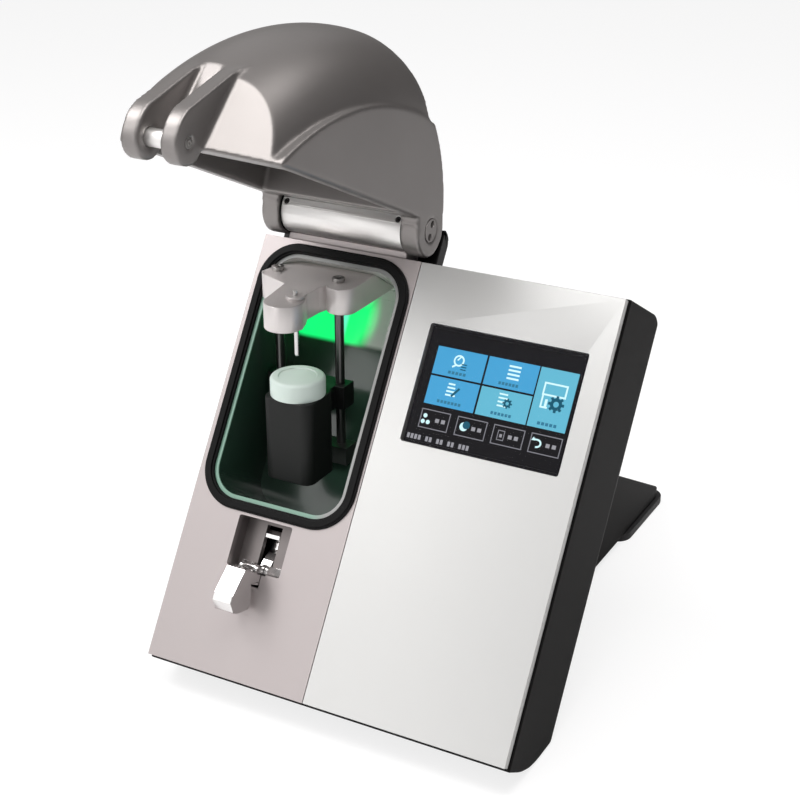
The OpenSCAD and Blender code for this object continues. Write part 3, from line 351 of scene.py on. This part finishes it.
finishSet = {
    "blackCoat": {"colour": (0.0075, 0.0070, 0.0070), "rough": 0.46, "specular": 0.04,
                  "grainScale": 1500.0, "grain": 0.35, "grainDeep": 0.00012, "blotch": 0.10},
    "satinPanel": {"colour": (0.425, 0.386, 0.384), "rough": 0.42, "metal": 0.75,
                   "grainScale": 3200.0, "grain": 0.08, "grainDeep": 0.00005,
                   "blotch": 0.02, "blotchScale": 9.0},
    "brushedPanel": {"colour": (0.565, 0.567, 0.56), "rough": 0.36, "metal": 0.8,
                     "grainScale": 1.0, "streak": (26.0, 5200.0, 5200.0), "grain": 0.12,
                     "grainDeep": 0.00004, "roughSpread": 0.08, "blotch": 0.015, "blotchScale": 7.0},
    "castGrey": {"colour": (0.245, 0.230, 0.224), "rough": 0.40, "metal": 0.74,
                 "grainScale": 2100.0, "grain": 0.18, "blotch": 0.04, "blotchScale": 14.0},
    "blackRubber": {"colour": (0.006, 0.006, 0.0062), "rough": 0.42, "specular": 0.10,
                    "grainScale": 900.0, "grain": 0.10, "blotch": 0.12},
    "softRubber": {"colour": (0.014, 0.014, 0.015), "rough": 0.62, "sheen": 0.08,
                   "grainScale": 1300.0, "grain": 0.45, "grainDeep": 0.00015, "blotch": 0.12},
    "turnedSteel": {"colour": (0.84, 0.83, 0.815), "rough": 0.44, "metal": 1.0,
                    "grainScale": 1.0, "streak": (5200.0, 160.0, 160.0), "grain": 0.10,
                    "grainDeep": 0.00003, "blotch": 0.02},
    "darkSteel": {"colour": (0.13, 0.13, 0.128), "rough": 0.30, "metal": 0.9,
                  "grainScale": 2600.0, "grain": 0.08, "blotch": 0.08},
    "groundSteel": {"colour": (0.63, 0.63, 0.625), "rough": 0.22, "metal": 1.0,
                    "grainScale": 1.0, "streak": (300.0, 300.0, 4200.0), "grain": 0.08,
                    "grainDeep": 0.00003, "blotch": 0.03},
    "screwSteel": {"colour": (0.42, 0.41, 0.40), "rough": 0.30, "metal": 1.0,
                   "grainScale": 2400.0, "grain": 0.10},
    "blackScrew": {"colour": (0.045, 0.044, 0.043), "rough": 0.34, "metal": 0.6,
                   "grainScale": 2400.0, "grain": 0.10, "blotch": 0.08},
    "polished": {"colour": (0.76, 0.745, 0.74), "rough": 0.21, "metal": 1.0,
                 "grainScale": 700.0, "grain": 0.05, "roughSpread": 0.03, "blotch": 0.02},
    "paleAlloy": {"colour": (0.70, 0.665, 0.655), "rough": 0.40, "metal": 0.55,
                  "grainScale": 2600.0, "grain": 0.10, "grainDeep": 0.00006, "blotch": 0.02},
    "blackPlastic": {"colour": (0.007, 0.008, 0.0075), "rough": 0.55, "specular": 0.3,
                     "grainScale": 1500.0, "grain": 0.30, "blotch": 0.10},
    "redPlastic": {"colour": (0.42, 0.018, 0.014), "rough": 0.22, "coat": 0.4, "coatRough": 0.1,
                   "grainScale": 900.0, "grain": 0.05, "blotch": 0.05},
    "palePad": {"colour": (0.62, 0.72, 0.67), "rough": 0.55, "sheen": 0.15,
                "grainScale": 1100.0, "grain": 0.20, "blotch": 0.04},
    "pumpAlloy": {"colour": (0.36, 0.365, 0.37), "rough": 0.45, "metal": 0.8,
                  "grainScale": 1600.0, "grain": 0.2},
    "blueSensor": {"colour": (0.04, 0.14, 0.30), "rough": 0.30, "grainScale": 900.0, "grain": 0.05},
    "clearTube": {"colour": (0.66, 0.74, 0.77), "rough": 0.30, "grainScale": 500.0, "grain": 0.05},
    "boardGreen": {"colour": (0.018, 0.13, 0.045), "rough": 0.35, "coat": 0.3, "coatRough": 0.1,
                   "grainScale": 700.0, "grain": 0.25, "blotch": 0.18, "blotchScale": 120.0},
    "screenBack": {"colour": (0.002, 0.002, 0.003), "rough": 0.3, "specular": 0.08, "grain": 0.03,
                   "light": (0.012, 0.0115, 0.013)},
    "clearGlass": {"colour": (0.01, 0.01, 0.012), "rough": 0.05, "specular": 0.12, "alpha": 0.05,
                   "grain": 0.0, "roughSpread": 0.02},
}
finishes = {name: makeFinish(name, values) for name, values in finishSet.items()}

finishOf = {
    "blackCoat": ["housing", "rear_foot", "rear_cover"],
    "brushedPanel": ["display_panel"],
    "castGrey": ["lid_shell", "shaft_plugs"],
    "blackRubber": ["chamber_seal", "hinge_washers"],
    "softRubber": ["front_feet"],
    "turnedSteel": ["hinge_barrel", "hinge_shaft", "fork_pin"],
    "darkSteel": ["guide_rods", "rod_socket"],
    "groundSteel": ["probe_rod"],
    "screwSteel": ["bracket_screws", "fork_screws", "foot_screws"],
    "blackScrew": ["cover_screws", "barrel_screws"],
    "polished": ["latch_lever", "draw_hook", "lever_pin", "hook_pin", "latch_base"],
    "paleAlloy": ["probe_bracket", "probe_sleeve"],
    "blackPlastic": ["mains_inlet", "rocker_frame", "watch_rest", "rest_carriage"],
    "redPlastic": ["power_rocker"],
    "pumpAlloy": ["air_pump", "valve_block", "power_supply"],
    "blueSensor": ["pressure_sensor"],
    "clearTube": ["air_tubes"],
    "boardGreen": ["main_board", "light_board"],
    "screenBack": ["display_module"],
    "clearGlass": ["touch_glass"],
}
for finish, members in finishOf.items():
    for member in members:
        dress(member, finishes[finish])

# the liner: grey, with the window's green light painted into its colour: a pale green edge-lit lip and dark
# green walls, and a painted green glow round the light window, given off by the liner itself; places and
# distances are in millimetres on the face, and a pair is where a change starts and ends, or the light's
# strength there
linerSet = {
    "surface": {"rough": 0.20, "coat": 0.3, "coatRough": 0.1, "grainScale": 260.0, "grain": 0.05},
    # dark green of the walls: painted shade and painted green light of the window
    "deep": (0.030, 0.066, 0.046),
    # the walls' grey at the top and the side, away from the painted green light; set paler than the lip's
    # grey to make up for the shade inside: painted light
    "greyWall": (0.72, 0.70, 0.70),
    "greyTop": (252.0, 266.0),
    "greySide": (57.0, 65.0),
    "greySideLow": (227.0, 231.0),
    # the lip's green: painted green light of the window on the liner's edge
    "lip": (0.17, 0.32, 0.245),
    "lipDeep": (1.2, 1.6),
    "greyLip": (0.27, 0.275, 0.27),
    "lipSide": (84.0, 98.0),
    "lipTop": (236.0, 250.0),
    "lipGlow": 0.05,
    # painted glow: the liner gives off the window's green light round the window
    "glow": (0.006, 1.0, 0.20),
    "glowPlace": (33.0, 246.0, -60.0),
    "glowReach": (23.0, 38.0),
    "glowStrength": (1.0, 0.006),
    "glowLow": (226.0, 230.0),
    # paler colour of a painted beam of light up the wall
    "streak": (0.14, 1.0, 0.60),
    "beamX": 42.0,
    "beamHalf": (1.0, 4.0),
}


def makeLiner(s):
    material, tree, shader = makeSurface("greenLitLiner", {**s["surface"], "colour": s["deep"]})
    place = objectPlace(tree)
    split = tree.nodes.new("ShaderNodeSeparateXYZ")
    tree.links.new(place, split.inputs[0])
    across = split.outputs["X"]
    rise = measure(tree, "DOT_PRODUCT", place, upFace)
    edge = fadeInto(tree, place, s["lipDeep"], 1.0, 0.0)

    # the colour: grey at the top and the side, below it the window's green light and the shade painted in as
    # dark green, and round the mouth the lip, painted green-lit, grey at its top and side
    sideShare = fadeAcross(tree, across, s["greySide"])
    side = joinValues(tree, "MULTIPLY", sideShare, fadeUp(tree, rise, s["greySideLow"]))
    greyWall = joinValues(tree, "MAXIMUM", fadeUp(tree, rise, s["greyTop"]), side)
    wall = mixColours(tree, greyWall, s["deep"], s["greyWall"])
    lipSide = fadeAcross(tree, across, s["lipSide"])
    greyLip = joinValues(tree, "MAXIMUM", lipSide, fadeUp(tree, rise, s["lipTop"]))
    lipTone = mixColours(tree, greyLip, s["lip"], s["greyLip"])
    tree.links.new(mixColours(tree, edge, wall, lipTone), shader.inputs["Base Color"])

    # the light: a painted glow, the liner itself giving off light in a round patch that ends low on the
    # wall, and a little on the green part of the lip
    away = measure(tree, "DISTANCE", place, facePoint(*s["glowPlace"]))
    near, far = (reach / 1000 for reach in s["glowReach"])
    glow = fade(tree, away, near, far, "SMOOTHERSTEP", *s["glowStrength"])
    lit = joinValues(tree, "MULTIPLY", glow, fadeUp(tree, rise, s["glowLow"]))
    lipShare = joinValues(tree, "SUBTRACT", edge, greyLip)
    lipLight = joinValues(tree, "MULTIPLY", lipShare, s["lipGlow"])
    strength = joinValues(tree, "MAXIMUM", lit, lipLight)
    tree.links.new(strength, shader.inputs["Emission Strength"])

    # its colour, paler in a painted beam of light up the wall
    beamPlace = facePoint(s["beamX"], 0, 0).x
    aside = joinValues(tree, "SUBTRACT", across, beamPlace, clamp=False)
    aside = joinValues(tree, "ABSOLUTE", aside, clamp=False)
    inner, outer = (half / 1000 for half in s["beamHalf"])
    band = fade(tree, aside, inner, outer, "SMOOTHSTEP", 1.0, 0.0)
    beam = mixColours(tree, band, s["glow"], s["streak"])
    tree.links.new(mixColours(tree, edge, beam, s["lip"]), shader.inputs["Emission Color"])
    return material


linerLook = makeLiner(linerSet)
dress("chamber_liner", linerLook)
dress("light_window", linerLook)

# a piece made darker deeper below the face, changing over from one depth below the face to the next, in
# millimetres: in the chamber block's latch recess this is painted shade, partly also a darker finish; the
# hinge block is darker beyond 20.6 mm
darkerDeepSet = {
    # painted shade in the latch recess, partly a darker finish there
    "chamber_block": {"finish": "satinPanel", "change": (1.6, 5.6), "deep": (0.21, 0.19, 0.187)},
    "hinge_block": {"finish": "satinPanel", "change": (20.6, 21.2), "deep": (0.010, 0.0095, 0.0095)},
}


def makeDarkerDeep(node, s):
    base = finishSet[s["finish"]]
    material, tree, shader = makeSurface(node + "DarkerDeep", base)
    # darker below the given depth: on the chamber block painted shade in the recess, partly a darker finish
    share = fadeInto(tree, objectPlace(tree), s["change"])
    tone = mixColours(tree, share, base["colour"], s["deep"])
    tree.links.new(tone, shader.inputs["Base Color"])
    dress(node, material)


for darkerNode, darkerValues in darkerDeepSet.items():
    makeDarkerDeep(darkerNode, darkerValues)
print("materials done")

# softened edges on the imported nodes: width in millimetres, number of steps
edgeSet = {
    "housing": (0.8, 3),
    "rear_foot": (1.2, 3),
    "rear_cover": (0.25, 2),
    "hinge_block": (0.8, 3),
    "hinge_barrel": (0.4, 2),
    "shaft_plugs": (0.2, 2),
    "fork_screws": (0.2, 2),
    "display_panel": (0.35, 2),
    "chamber_seal": (0.5, 2),
    "light_window": (0.3, 2),
    "latch_lever": (0.35, 3),
    "draw_hook": (0.12, 2),
    "latch_base": (0.15, 2),
    "probe_bracket": (0.6, 3),
    "probe_sleeve": (0.3, 2),
    "bracket_screws": (0.2, 2),
    "watch_rest": (1.0, 3),
    "rest_carriage": (0.5, 2),
    "rod_socket": (0.4, 2),
    "front_feet": (0.4, 2),
    "mains_inlet": (0.4, 2),
    "rocker_frame": (0.3, 2),
    "power_rocker": (0.3, 2),
    "air_pump": (0.6, 2),
    "valve_block": (0.5, 2),
}
edgeRule = {"weld": 0.01, "angle": 32}


def softenEdges(node, width, steps):
    obj = nodes[node]
    weld = obj.modifiers.new("weld", "WELD")
    weld.merge_threshold = edgeRule["weld"] / 1000
    bevel = obj.modifiers.new("edges", "BEVEL")
    bevel.width = width / 1000
    bevel.segments = steps
    bevel.limit_method = "ANGLE"
    bevel.angle_limit = math.radians(edgeRule["angle"])
    bevel.use_clamp_overlap = False
    bevel.harden_normals = True


for edgeNode, (edgeWidth, edgeSteps) in edgeSet.items():
    softenEdges(edgeNode, edgeWidth, edgeSteps)
print("edges softened")


# steps shared by the pieces made here

def settle(obj, name, material, body):
    selectOnly(obj)
    bpy.ops.object.transform_apply(location=True, rotation=True, scale=True)
    obj.name = name
    obj.data.name = name
    obj.data.materials.clear()
    obj.data.materials.append(material)
    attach(obj, body)
    deselectAll()


def applyModifier(obj, kind, **values):
    selectOnly(obj)
    modifier = obj.modifiers.new(kind.lower(), kind)
    for key, value in values.items():
        setattr(modifier, key, value)
    bpy.ops.object.modifier_apply(modifier=modifier.name)


def selectFaces(obj, wanted):
    bpy.ops.object.mode_set(mode="EDIT")
    bpy.ops.mesh.select_mode(type="FACE")
    bpy.ops.mesh.select_all(action="DESELECT")
    bpy.ops.object.mode_set(mode="OBJECT")
    for polygon in obj.data.polygons:
        polygon.select = wanted(polygon)
    bpy.ops.object.mode_set(mode="EDIT")


# the lid, a casting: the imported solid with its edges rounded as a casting's are
lidSet = {"weld": 0.02, "grid": 1.15, "ease": 5, "easeShare": 0.5}


def makeLid(s):
    selectOnly(nodes["lid_shell"])
    bpy.ops.object.duplicate()
    lid = bpy.context.object
    bpy.ops.object.parent_clear(type="CLEAR_KEEP_TRANSFORM")
    bpy.ops.object.mode_set(mode="EDIT")
    bpy.ops.mesh.select_all(action="SELECT")
    bpy.ops.mesh.remove_doubles(threshold=s["weld"] / 1000)
    bpy.ops.object.mode_set(mode="OBJECT")
    applyModifier(lid, "REMESH", mode="VOXEL", voxel_size=s["grid"] / 1000, adaptivity=0)
    applyModifier(lid, "SMOOTH", factor=s["easeShare"], iterations=s["ease"])
    bpy.ops.object.shade_smooth()
    settle(lid, "castLid", finishes["castGrey"], "lid")
    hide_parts("lid_shell")
    print("lid faces:", len(lid.data.polygons))


makeLid(lidSet)

# the probe's spring, a wound wire in place of the plain tube; sizes in millimetres
springSet = {
    "wire": 0.45,
    "wireCorners": 12,
    "turns": 6,
    "mean": 2.45,
    "steps": 28,
    "weld": 0.01,
    "travel": 6.0,
}


def makeSpring(s):
    low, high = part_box("probe_spring")
    centre = (Vector(low) + Vector(high)) / 2
    tall = high[2] - low[2]
    wire = s["wire"] / 1000
    bpy.ops.mesh.primitive_circle_add(vertices=s["wireCorners"], radius=wire, fill_type="NOTHING",
                                      location=(s["mean"] / 1000, 0, 0), rotation=(math.radians(90), 0, 0))
    spring = bpy.context.object
    bpy.ops.object.transform_apply(location=True, rotation=True, scale=True)
    applyModifier(spring, "SCREW", screw_offset=(tall - 2 * wire) / s["turns"], iterations=s["turns"],
                  steps=s["steps"], render_steps=s["steps"], use_merge_vertices=False, use_smooth_shade=True)
    bpy.ops.object.mode_set(mode="EDIT")
    bpy.ops.mesh.select_all(action="SELECT")
    bpy.ops.mesh.remove_doubles(threshold=s["weld"] / 1000)
    bpy.ops.mesh.select_all(action="DESELECT")
    bpy.ops.mesh.select_non_manifold()
    bpy.ops.mesh.edge_face_add()
    bpy.ops.mesh.select_all(action="SELECT")
    bpy.ops.mesh.normals_make_consistent(inside=False)
    bpy.ops.object.mode_set(mode="OBJECT")
    spring.location = (centre.x, centre.y, low[2] + wire)
    settle(spring, "springCoil", finishes["groundSteel"], "base")
    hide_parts("probe_spring")
    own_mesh(spring)


makeSpring(springSet)

# the soft pad under the watch, moulded with a rounded rim and a shallow dish, in millimetres;
# level and flat are how straight up a face looks, and a rim face has no more corners than rimCorners
padSet = {
    "corners": 72,
    "rim": 2.2,
    "rimSteps": 6,
    "dish": 0.5,
    "dishRim": 3.0,
    "level": 0.9,
    "flat": 0.99,
    "rimCorners": 8,
    "smooth": 40,
}


def makePad(s):
    low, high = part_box("rest_pad")
    centre = (Vector(low) + Vector(high)) / 2
    radius = (high[0] - low[0]) / 2
    tall = high[2] - low[2]
    bpy.ops.mesh.primitive_cylinder_add(vertices=s["corners"], radius=radius, depth=tall, location=centre)
    pad = bpy.context.object
    selectFaces(pad, lambda face: face.normal.z > s["level"])
    bpy.ops.mesh.region_to_loop()
    bpy.ops.mesh.bevel(offset=s["rim"] / 1000, segments=s["rimSteps"], affect="EDGES")
    selectFaces(pad, lambda face: face.normal.z > s["flat"] and len(face.vertices) > s["rimCorners"])
    bpy.ops.mesh.inset(thickness=s["dishRim"] / 1000)
    bpy.ops.mesh.inset(thickness=s["dish"] / 1000)
    bpy.ops.transform.translate(value=(0, 0, -s["dish"] / 1000))
    bpy.ops.object.mode_set(mode="OBJECT")
    bpy.ops.object.shade_smooth_by_angle(angle=math.radians(s["smooth"]))
    settle(pad, "softPad", finishes["palePad"], "rest")
    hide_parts("rest_pad")


makePad(padSet)
print("spring and pad made")

# the screen's picture: lit tiles, outlined keys and plain bars instead of words;
# every place on it is in millimetres on the face, a shape as left, right, low, high
screenSet = {
    "sunk": 3.1,       # depth of the picture below the face
    "layer": 0.06,     # each layer lies this much nearer the eye
    "thick": 0.04,
    "ownShare": 0.15,  # unlit colour, as a share of the lit one
    "look": {"rough": 0.25, "specular": 0.08, "grain": 0.03},
}
tileLayer, symbolLayer, detailLayer, markLayer = 1, 2, 3, 4

inkSet = {
    "sky": ("tileSky", (0.060, 0.340, 0.620)),
    "skyPale": ("tilePale", (0.120, 0.450, 0.610)),
    "white": ("iconWhite", (0.62, 0.90, 0.95)),
    "ink": ("iconInk", (0.012, 0.095, 0.150)),
    "outline": ("keyOutline", (0.22, 0.22, 0.25)),
    "grey": ("barGrey", (0.30, 0.30, 0.33)),
    "caption": ("captionInk", (0.035, 0.18, 0.29)),
}


def litMaterial(name, colour):
    own = tint(colour, screenSet["ownShare"])
    return makeFinish(name, {**screenSet["look"], "colour": own, "light": colour})


pictureInk = {ink: litMaterial(name, colour) for ink, (name, colour) in inkSet.items()}
pictureParts = {ink: [] for ink in inkSet}


def placeFlat(ink, x, v, wide, tall, layer, turn=0.0):
    flat = bpy.context.object
    n = -screenSet["sunk"] + screenSet["layer"] * layer
    local = Matrix.Translation((x, v, n)) @ Matrix.Rotation(math.radians(turn), 4, "Z")
    flat.matrix_world = faceMatrix @ (local @ Matrix.Diagonal((wide, tall, 1, 1)))
    pictureParts[ink].append(flat)


def flatBar(ink, x0, x1, v0, v1, layer, turn=0.0):
    bpy.ops.mesh.primitive_plane_add(size=1)
    placeFlat(ink, (x0 + x1) / 2, (v0 + v1) / 2, x1 - x0, v1 - v0, layer, turn)


def flatDisc(ink, x, v, radius, layer, corners=28):
    bpy.ops.mesh.primitive_circle_add(vertices=corners, radius=1, fill_type="NGON")
    placeFlat(ink, x, v, radius, radius, layer)


def outlineBox(ink, x0, x1, v0, v1, line, layer):
    flatBar(ink, x0, x1, v1 - line, v1, layer)
    flatBar(ink, x0, x1, v0, v0 + line, layer)
    flatBar(ink, x0, x0 + line, v0 + line, v1 - line, layer)
    flatBar(ink, x1 - line, x1, v0 + line, v1 - line, layer)


# bars above each other, each a little shorter than the one below where the ends move in
def barRows(ink, s, layer):
    for i in range(s["count"]):
        left = s["left"] + s.get("leftIn", 0) * i
        right = s["right"] - s.get("rightIn", 0) * i
        low = s["low"] + s["step"] * i
        flatBar(ink, left, right, low, low + s["tall"], layer)


# body, hole and half a tooth's width as shares of the gear's radius
gearSet = {"body": 0.74, "toothHalf": 0.17, "hole": 0.34, "teeth": 8}


def gear(ink, hole, x, v, radius, layer):
    half = radius * gearSet["toothHalf"]
    flatDisc(ink, x, v, radius * gearSet["body"], layer)
    for i in range(gearSet["teeth"] // 2):
        flatBar(ink, x - half, x + half, v - radius, v + radius, layer, 360 / gearSet["teeth"] * i)
    flatDisc(hole, x, v, radius * gearSet["hole"], layer + 1)


# the five tiles: the last one takes both rows
tileSet = {
    "left": (139.6, 172.9),
    "middle": (174.2, 207.5),
    "right": (208.4, 232.9),
    "upper": (213.9, 231.4),
    "lower": (195.1, 212.7),
}


def drawTiles(s):
    flatBar("sky", *s["left"], *s["upper"], tileLayer)
    flatBar("sky", *s["middle"], *s["upper"], tileLayer)
    flatBar("sky", *s["left"], *s["lower"], tileLayer)
    flatBar("skyPale", *s["middle"], *s["lower"], tileLayer)
    flatBar("skyPale", *s["right"], s["lower"][0], s["upper"][1], tileLayer)


# a dial with a pointer, a list, a sheet with a pen, a list with a gear, a machine with a large gear
symbolSet = {
    "dial": {"middle": (155.4, 224.6), "rim": 3.6, "inside": 2.5,
             "pointer": (155.0, 155.9, 224.3, 227.8), "pointerTurn": -38,
             "stem": (151.6, 154.6, 220.4, 221.5), "stemTurn": 35,
             "rows": {"left": 157.6, "right": 161.2, "low": 219.2, "tall": 0.7, "step": 1.6, "count": 3}},
    "list": {"left": 188.3, "right": 196.2, "low": 219.8, "tall": 1.2, "step": 2.5, "count": 4},
    "sheet": {"left": 152.0, "right": 158.6, "low": 202.2, "tall": 1.1, "step": 2.3, "count": 4,
              "leftIn": 0.2, "rightIn": 0.5},
    "pen": (157.6, 159.0, 201.6, 208.6),
    "penTurn": -38,
    "gearList": {"left": 186.6, "right": 193.4, "low": 202.6, "tall": 1.0, "step": 2.4, "count": 4,
                 "rightIn": 0.4},
    "smallGear": (193.0, 205.2, 3.1),
    "machine": (212.9, 228.2, 214.9, 223.0),
    "machineLine": 1.1,
    "stand": ((213.2, 218.0, 207.2, 208.3), (213.2, 214.3, 208.3, 214.9), (215.8, 217.4, 208.3, 212.8)),
    "largeGear": (223.2, 210.8, 5.1),
}


def drawSymbols(s):
    dial = s["dial"]
    flatDisc("white", *dial["middle"], dial["rim"], symbolLayer)
    flatDisc("sky", *dial["middle"], dial["inside"], detailLayer)
    flatBar("white", *dial["pointer"], markLayer, dial["pointerTurn"])
    flatBar("white", *dial["stem"], markLayer, dial["stemTurn"])
    barRows("ink", dial["rows"], markLayer)
    barRows("white", s["list"], symbolLayer)
    barRows("white", s["sheet"], symbolLayer)
    flatBar("ink", *s["pen"], detailLayer, s["penTurn"])
    barRows("white", s["gearList"], symbolLayer)
    gear("ink", "skyPale", *s["smallGear"], detailLayer)
    outlineBox("white", *s["machine"], s["machineLine"], symbolLayer)
    for bar in s["stand"]:
        flatBar("white", *bar, symbolLayer)
    gear("ink", "skyPale", *s["largeGear"], markLayer)


# a row of plain bars under each symbol: its middle, width, height and number of bars
captionSet = [
    {"middle": (156.4, 216.6), "wide": 12.5, "tall": 1.8, "bars": 5},
    {"middle": (190.8, 216.6), "wide": 13.5, "tall": 1.8, "bars": 6},
    {"middle": (156.2, 198.0), "wide": 16.5, "tall": 1.8, "bars": 7},
    {"middle": (191.0, 198.0), "wide": 14.0, "tall": 1.8, "bars": 6},
    {"middle": (221.0, 198.0), "wide": 13.0, "tall": 1.9, "bars": 5},
]
captionFill = 0.72  # how much of its step a bar fills


def drawCaption(s):
    x, v = s["middle"]
    step = s["wide"] / s["bars"]
    for i in range(s["bars"]):
        left = x - s["wide"] / 2 + i * step
        flatBar("caption", left, left + step * captionFill, v - s["tall"] / 2, v + s["tall"] / 2, markLayer)


# the four keys, each with its symbol and two small blocks
keySet = {
    "edges": ((139.8, 159.4), (164.2, 184.1), (188.4, 208.8), (212.9, 232.9)),
    "low": 179.9,
    "high": 191.8,
    "line": 0.55,
    "block": {"from": 10.4, "wide": 2.5, "step": 4.0, "low": 184.6, "high": 187.0, "count": 2},
    "dots": ((143.0, 187.6), (142.2, 183.9), (145.6, 183.9)),
    "dotRadius": 1.35,
    "dotCorners": 18,
    "disc": (169.4, 185.9, 2.7),
    "discBite": (170.9, 187.1, 2.4),
    "case": (191.8, 196.4, 182.7, 188.9),
    "caseLine": 0.5,
    "caseMark": (193.3, 194.9, 184.6, 186.6),
    "arrow": {"middle": (217.4, 185.9), "radius": (2.5, 2.2), "half": (0.5, 0.55),
              "from": 90, "step": 22, "count": 9},
    "arrowTail": (214.6, 217.4, 187.6, 188.6),
    "arrowTip": (214.9, 188.1, 1.5),
    "arrowTipCorners": 3,
}


def drawKeys(s):
    block = s["block"]
    for keyLeft, keyRight in s["edges"]:
        outlineBox("outline", keyLeft, keyRight, s["low"], s["high"], s["line"], tileLayer)
        for i in range(block["count"]):
            left = keyLeft + block["from"] + block["step"] * i
            flatBar("grey", left, left + block["wide"], block["low"], block["high"], tileLayer)
    for x, v in s["dots"]:
        flatDisc("white", x, v, s["dotRadius"], symbolLayer, s["dotCorners"])
    flatDisc("white", *s["disc"], symbolLayer)
    flatDisc("ink", *s["discBite"], detailLayer)
    outlineBox("outline", *s["case"], s["caseLine"], symbolLayer)
    flatBar("grey", *s["caseMark"], symbolLayer)


# the last key's arrow, bent round in short bars
def drawArrow(s):
    arrow = s["arrow"]
    halfWide, halfTall = arrow["half"]
    for i in range(arrow["count"]):
        angle = math.radians(arrow["from"] - arrow["step"] * i)
        x = arrow["middle"][0] + arrow["radius"][0] * math.cos(angle)
        v = arrow["middle"][1] + arrow["radius"][1] * math.sin(angle)
        flatBar("white", x - halfWide, x + halfWide, v - halfTall, v + halfTall,
                symbolLayer, -arrow["step"] * i)
    flatBar("white", *s["arrowTail"], symbolLayer)
    flatDisc("white", *s["arrowTip"], symbolLayer, s["arrowTipCorners"])


# the clock line, as small blocks with gaps
clockSet = {"left": 134.4, "wide": 1.7, "step": 2.5, "low": 172.2, "high": 175.2, "count": 17,
            "gaps": (4, 7, 10, 13)}


def drawClock(s):
    for i in range(s["count"]):
        left = s["left"] + s["step"] * i
        if i not in s["gaps"]:
            flatBar("grey", left, left + s["wide"], s["low"], s["high"], tileLayer)


def joinPicture():
    for ink, parts in pictureParts.items():
        deselectAll()
        for part in parts:
            part.select_set(True)
        bpy.context.view_layer.objects.active = parts[0]
        bpy.ops.object.transform_apply(location=True, rotation=True, scale=True)
        bpy.ops.object.join()
        picture = bpy.context.object
        applyModifier(picture, "SOLIDIFY", thickness=screenSet["thick"] / 1000, offset=-1)
        settle(picture, "screen_" + ink, pictureInk[ink], "base")


drawTiles(tileSet)
drawSymbols(symbolSet)
for caption in captionSet:
    drawCaption(caption)
drawKeys(keySet)
drawArrow(keySet)
drawClock(clockSet)
joinPicture()
print("screen picture made")

# the ribbed sole under the rear foot, in millimetres and degrees
soleSet = {
    "corner": 12.0,
    "cornerSteps": 8,
    "side": 7.0,
    "rib": 3.2,
    "groove": 2.4,
    "deep": 1.6,
    "edge": 0.4,
    "edgeSteps": 2,
    "edgeAngle": 50,
    "smooth": 35,
    "level": 0.9,   # how straight down a face of the underside looks
}


def cutAcross(places, way):
    for place in places:
        bpy.ops.mesh.select_all(action="SELECT")
        bpy.ops.mesh.bisect(plane_co=[place * part for part in way], plane_no=way)


def makeSole(s):
    low, high = (Vector(p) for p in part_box("rear_sole"))
    centre = (low + high) / 2
    bpy.ops.mesh.primitive_plane_add(size=1, location=(centre.x, centre.y, high.z))
    sole = bpy.context.object
    sole.scale = (high.x - low.x, high.y - low.y, 1)
    bpy.ops.object.transform_apply(location=True, rotation=True, scale=True)
    bpy.ops.object.mode_set(mode="EDIT")
    bpy.ops.mesh.select_all(action="SELECT")
    bpy.ops.mesh.bevel(offset=s["corner"] / 1000, segments=s["cornerSteps"], affect="VERTICES")
    bpy.ops.object.mode_set(mode="OBJECT")
    applyModifier(sole, "SOLIDIFY", thickness=high.z - low.z, offset=-1)

    side, groove = s["side"] / 1000, s["groove"] / 1000
    grooves = []
    y = low.y + side
    while y + groove < high.y - side:
        grooves.append((y, y + groove))
        y += (s["groove"] + s["rib"]) / 1000
    left, right = low.x + side, high.x - side
    bpy.ops.object.mode_set(mode="EDIT")
    cutAcross([end for ends in grooves for end in ends], (0, 1, 0))
    cutAcross((left, right), (1, 0, 0))

    def inGroove(face):
        c = face.center
        under = face.normal.z < -s["level"] and left < c.x < right
        return under and any(start < c.y < end for start, end in grooves)

    selectFaces(sole, inGroove)
    bpy.ops.mesh.extrude_region_move(TRANSFORM_OT_translate={"value": (0, 0, s["deep"] / 1000)})
    bpy.ops.object.mode_set(mode="OBJECT")
    applyModifier(sole, "BEVEL", width=s["edge"] / 1000, segments=s["edgeSteps"], limit_method="ANGLE",
                  angle_limit=math.radians(s["edgeAngle"]))
    bpy.ops.object.shade_smooth_by_angle(angle=math.radians(s["smooth"]))
    settle(sole, "ribbedSole", finishes["softRubber"], "base")
    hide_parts("rear_sole")


makeSole(soleSet)
print("sole made")

# the floor: the camera sees near-white paper that keeps the shadow, other rays plain pale paper
floorSet = {
    "size": 60,
    "paper": {"colour": (0.90, 0.90, 0.905), "rough": 0.9, "specular": 0.1},
    "seenColour": (0.26, 0.26, 0.262, 1),
    "seenRough": 0.95,
    "seenLight": (1, 1, 1, 1),
    "seenStrength": 0.80,
}


def makeFloor(s):
    bpy.ops.mesh.primitive_plane_add(size=s["size"])
    floor = bpy.context.object
    floor.name = "floor"
    material, tree, shader = newMaterial("floorPaper", s["paper"])
    look = {"Base Color": s["seenColour"], "Roughness": s["seenRough"], "Specular IOR Level": 0.0,
            "Emission Color": s["seenLight"], "Emission Strength": s["seenStrength"]}
    seen = addNode(tree, "ShaderNodeBsdfPrincipled", **look)
    rays = tree.nodes.new("ShaderNodeLightPath")
    mix = tree.nodes.new("ShaderNodeMixShader")
    tree.links.new(rays.outputs["Is Camera Ray"], mix.inputs[0])
    tree.links.new(shader.outputs[0], mix.inputs[1])
    tree.links.new(seen.outputs[0], mix.inputs[2])
    tree.links.new(mix.outputs[0], tree.nodes["Material Output"].inputs["Surface"])
    floor.data.materials.append(material)
    deselectAll()


makeFloor(floorSet)

print("scene ready")
